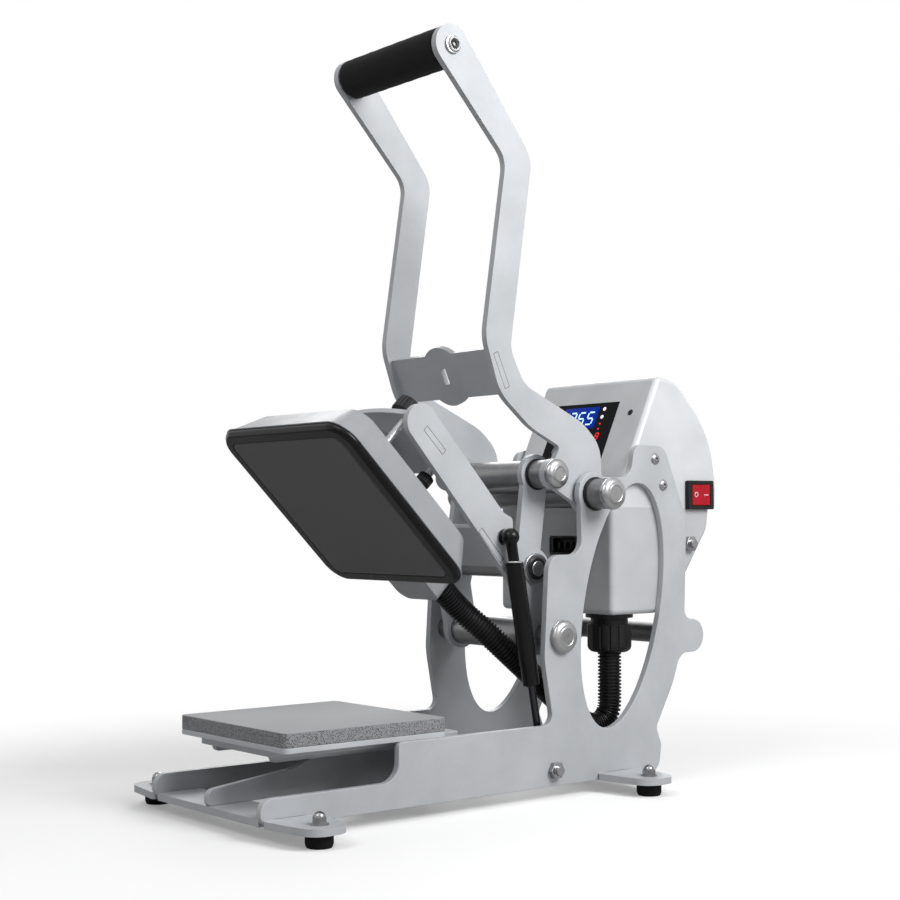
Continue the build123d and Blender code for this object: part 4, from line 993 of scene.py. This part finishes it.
class PRESS_OT_power_switch(PieceOperator, bpy.types.Operator):
    """Finish the red rocker and raise its ON and OFF marks"""

    bl_idname = "press.power_switch"
    bl_label = "Power switch"

    def execute(self, context):
        # Painted glow: a faint emission in the rocker's own red keeps it bright whatever light falls on it.
        red = Finish("rocker_red", specular_ior_level=0.2, emission_strength=0.12)
        cloud = red.noise(8.0, detail=2.0)
        colour = self.colours.rocker
        red.mottle(cloud, colour, 0.8, 1.2)
        red.into("Roughness", 0.22 + 0.1 * cloud)
        red.mottle(cloud, colour, 0.8, 1.1, "Emission Color")
        paint_nodes(red.material, "power_rocker")
        soften_edges(0.5, ["power_rocker"])
        form = bmesh.new()
        off = [(1.75, -0.1), (2.25, -0.1), (2.25, 0.14), (1.75, 0.14)]
        lathe(form, off, along_x(*OFF_MARK), steps=28)
        lean = math.radians(ROCKER_SWING)
        outwards = (math.cos(lean), -math.sin(lean), 0)
        bar = place(ON_MARK, (math.sin(lean), math.cos(lean), 0), outwards)
        block(form, (4.6, 0.55, 0.28), bar, edge=0.08)
        close_form(form, "rocker_marks", "rocker", [moulded("mark_white", (0.8, 0.78, 0.77, 1.0), rough=0.5)])
        return {"FINISHED"}


class PRESS_OT_feet(PieceOperator, bpy.types.Operator):
    """Finish the rubber feet and make their domed nuts and washers"""

    bl_idname = "press.feet"
    bl_label = "Feet"

    def execute(self, context):
        paint_nodes(soft_rubber("foot_rubber", self.colours.black), "rubber_feet")
        soften_edges(0.6, ["rubber_feet"])
        form = bmesh.new()
        for x, y in FEET:
            where = Matrix.Translation((x, y, FOOT_PLATE_TOP))
            washer = [(3.1, 0.0), (6.6, 0.0), (6.8, 0.2), (6.8, 0.7), (6.6, 0.9), (3.1, 0.9)]
            lathe(form, washer, where, steps=36)
            dome = [(0.0, 9.4)]
            for part in range(1, 9):
                lean = math.radians(90.0 * part / 8)
                dome.append((4.6 * math.sin(lean), 5.2 + 4.2 * math.cos(lean)))
            lathe(form, dome + [(4.6, 0.9), (0.0, 0.9)], where, steps=32)
            hexagon = bmesh.ops.create_circle(form, cap_ends=True, segments=6, radius=5.6)["verts"]
            bmesh.ops.translate(form, vec=(0, 0, 0.9), verts=hexagon)
            bmesh.ops.transform(form, matrix=where, verts=raise_ring(form, hexagon, 4.2))
            stud = [(0.0, 0.0), (3.0, 0.0), (3.0, -11.9), (0.0, -11.9)]
            lathe(form, stud, where, steps=24)
        nuts = bright_plate("domed_nut", (0.26, 0.26, 0.27), rough=0.16)
        close_form(form, "domed_foot_nuts", "frame", [nuts], ["foot_nuts"])
        return {"FINISHED"}


class PRESS_OT_gas_spring(PieceOperator, bpy.types.Operator):
    """Finish the gas spring and add the ring at its upper end"""

    bl_idname = "press.gas_spring"
    bl_label = "Gas spring"

    def execute(self, context):
        black = moulded("spring_paint", shade(self.colours.black, 0.5), rough=0.22, depth=0.006, specular=0.2)
        paint_nodes(black, "gas_cylinder")
        paint_nodes(drawn_steel("rod_steel", (0.05, 0.05, 0.055), rough=0.22), "gas_rod")
        soften_edges(0.7, ["gas_cylinder", "gas_rod"])
        form = bmesh.new()
        ring = [(4.6, 20.4), (6.6, 20.4), (7.0, 20.8), (7.0, 21.6), (6.6, 22.0), (4.6, 22.0)]
        lathe(form, ring, place(GAS_TOP, (0, 1, 0), GAS_FOOT - GAS_TOP), steps=36)
        close_form(form, "spring_ring", "gas_cylinder", [bright_plate("spring_zinc", (0.7, 0.7, 0.71))])
        return {"FINISHED"}


class PRESS_OT_studio(PieceOperator, bpy.types.Operator):
    """Set the floor, the lamps, the world and the camera"""

    bl_idname = "press.studio"
    bl_label = "Studio"

    def lamp(self, name, spot, target, size, power):
        light = bpy.data.lights.new(name, "AREA")
        light.shape = "RECTANGLE"
        light.size, light.size_y = size
        light.energy = power
        holder = new_object(name, light)
        holder.location = spot
        holder.rotation_euler = (Vector(target) - Vector(spot)).to_track_quat("-Z", "Y").to_euler()

    def execute(self, context):
        scene = bpy.context.scene
        world = bpy.data.worlds.new("studio_world")
        scene.world = world
        world.use_nodes = True
        world.node_tree.nodes.remove(world.node_tree.nodes["Background"])
        around = NodeWork(world.node_tree)
        white = (1.0, 1.0, 1.0, 1.0)
        ambient = around.node("Background", {}, {"Color": white, "Strength": 0.14})
        paper = around.node("Background", {}, {"Color": white, "Strength": 1.0})
        straight, glossy, through = (
            around.node("LightPath", output=f"Is {kind} Ray") for kind in ("Camera", "Glossy", "Transmission")
        )
        bent = around.node("Math", {"operation": "MAXIMUM"}, {0: glossy, 1: through})
        seen = around.node("Math", {"operation": "MAXIMUM"}, {0: straight, 1: bent})
        surface = around.node("MixShader", {}, {0: seen, 1: ambient, 2: paper})
        around.tree.links.new(surface.socket, around.tree.nodes["World Output"].inputs["Surface"])

        form = bmesh.new()
        bmesh.ops.create_grid(form, x_segments=1, y_segments=1, size=4000.0)
        floor = close_form(form, "studio_floor", None, [])
        sweep = Finish("floor_paper", roughness=0.9)
        where = sweep.node("TexCoord", output="Object")
        reach = sweep.node("VectorMath", {"operation": "LENGTH"}, {0: where}, output="Value")
        fade = sweep.node("MapRange", {"interpolation_type": "SMOOTHSTEP"}, {
            "Value": reach, "From Min": 0.3, "From Max": 0.72, "To Min": 0.25, "To Max": 1.0,
        })
        seen_by_camera = sweep.node("LightPath", output="Is Camera Ray")
        sweep.into("Base Color", sweep.blend(seen_by_camera, (0.5, 0.5, 0.5, 1.0), (0.92, 0.92, 0.92, 1.0)))
        glow = sweep.node("Emission", {}, {"Color": white, "Strength": 1.0})
        lit = Wire(sweep, sweep.shader.outputs[0])
        surface = sweep.node("MixShader", {}, {0: fade * seen_by_camera, 1: lit, 2: glow})
        sweep.tree.links.new(surface.socket, sweep.tree.nodes["Material Output"].inputs["Surface"])
        floor.data.materials.append(sweep.material)

        self.lamp("top_softbox", (0.2, 0.0, 1.7), (0.0, 0.0, 0.2), (1.2, 1.2), 3.0)
        self.lamp("right_softbox", (1.05, 0.22, 0.95), (0.0, 0.05, 0.42), (0.7, 0.7), 17.5)
        self.lamp("front_softbox", (0.3, -1.4, 1.6), (0.0, -0.05, 0.25), (0.9, 0.9), 11.0)
        self.lamp("back_softbox", (-1.4, 1.1, 1.1), (0.0, 0.0, 0.25), (1.0, 1.0), 12.5)

        level = Vector((-math.sin(CAMERA_AZIMUTH), math.cos(CAMERA_AZIMUTH), 0.0))
        ahead = math.cos(CAMERA_PITCH) * level + Vector((0.0, 0.0, math.sin(CAMERA_PITCH)))
        right = Vector((math.cos(CAMERA_AZIMUTH), math.sin(CAMERA_AZIMUTH), 0.0))
        down = -right.cross(ahead)
        right, down = (
            math.cos(CAMERA_ROLL) * right + math.sin(CAMERA_ROLL) * down,
            math.cos(CAMERA_ROLL) * down - math.sin(CAMERA_ROLL) * right,
        )
        camera = bpy.data.cameras.new("photo_camera")
        camera.sensor_width = 36.0
        camera.lens = CAMERA_LENS
        camera.clip_end = 20.0
        holder = new_object("photo_camera", camera)
        turn = Matrix((right, -down, -ahead)).transposed().to_4x4()
        holder.matrix_world = Matrix.Translation(CAMERA_SPOT) @ turn
        scene.camera = holder
        scene.view_settings.view_transform = "Standard"
        return {"FINISHED"}


OPERATORS = (
    PRESS_OT_studio,
    PRESS_OT_conduit,
    PRESS_OT_frame_plates,
    PRESS_OT_steelwork,
    PRESS_OT_platen,
    PRESS_OT_pressure,
    PRESS_OT_grip,
    PRESS_OT_silicone_pad,
    PRESS_OT_control_box,
    PRESS_OT_display,
    PRESS_OT_power_switch,
    PRESS_OT_feet,
    PRESS_OT_gas_spring,
)


class PRESS_PT_sidebar(bpy.types.Panel):
    """The press's sizes, colours and pieces"""

    bl_idname = "PRESS_PT_sidebar"
    bl_label = "Heat Press"
    bl_space_type = "VIEW_3D"
    bl_region_type = "UI"
    bl_category = "Heat Press"

    def draw(self, context):
        layout = self.layout
        for group in (context.scene.press_sizes, context.scene.press_colours):
            box = layout.box()
            for key in group.__annotations__:
                box.prop(group, key)
        for operator in OPERATORS:
            layout.operator(operator.bl_idname)


CLASSES = (PressSizes, PressColours, *OPERATORS, PRESS_PT_sidebar)


def register():
    for made in CLASSES:
        bpy.utils.register_class(made)
    bpy.types.Scene.press_sizes = bpy.props.PointerProperty(type=PressSizes)
    bpy.types.Scene.press_colours = bpy.props.PointerProperty(type=PressColours)


def unregister():
    del bpy.types.Scene.press_colours
    del bpy.types.Scene.press_sizes
    for made in reversed(CLASSES):
        bpy.utils.unregister_class(made)


def main():
    """Register the add-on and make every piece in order."""
    register()
    for operator in OPERATORS:
        group, name = operator.bl_idname.split(".")
        getattr(getattr(bpy.ops, group), name)()


if __name__ == "__main__":
    main()
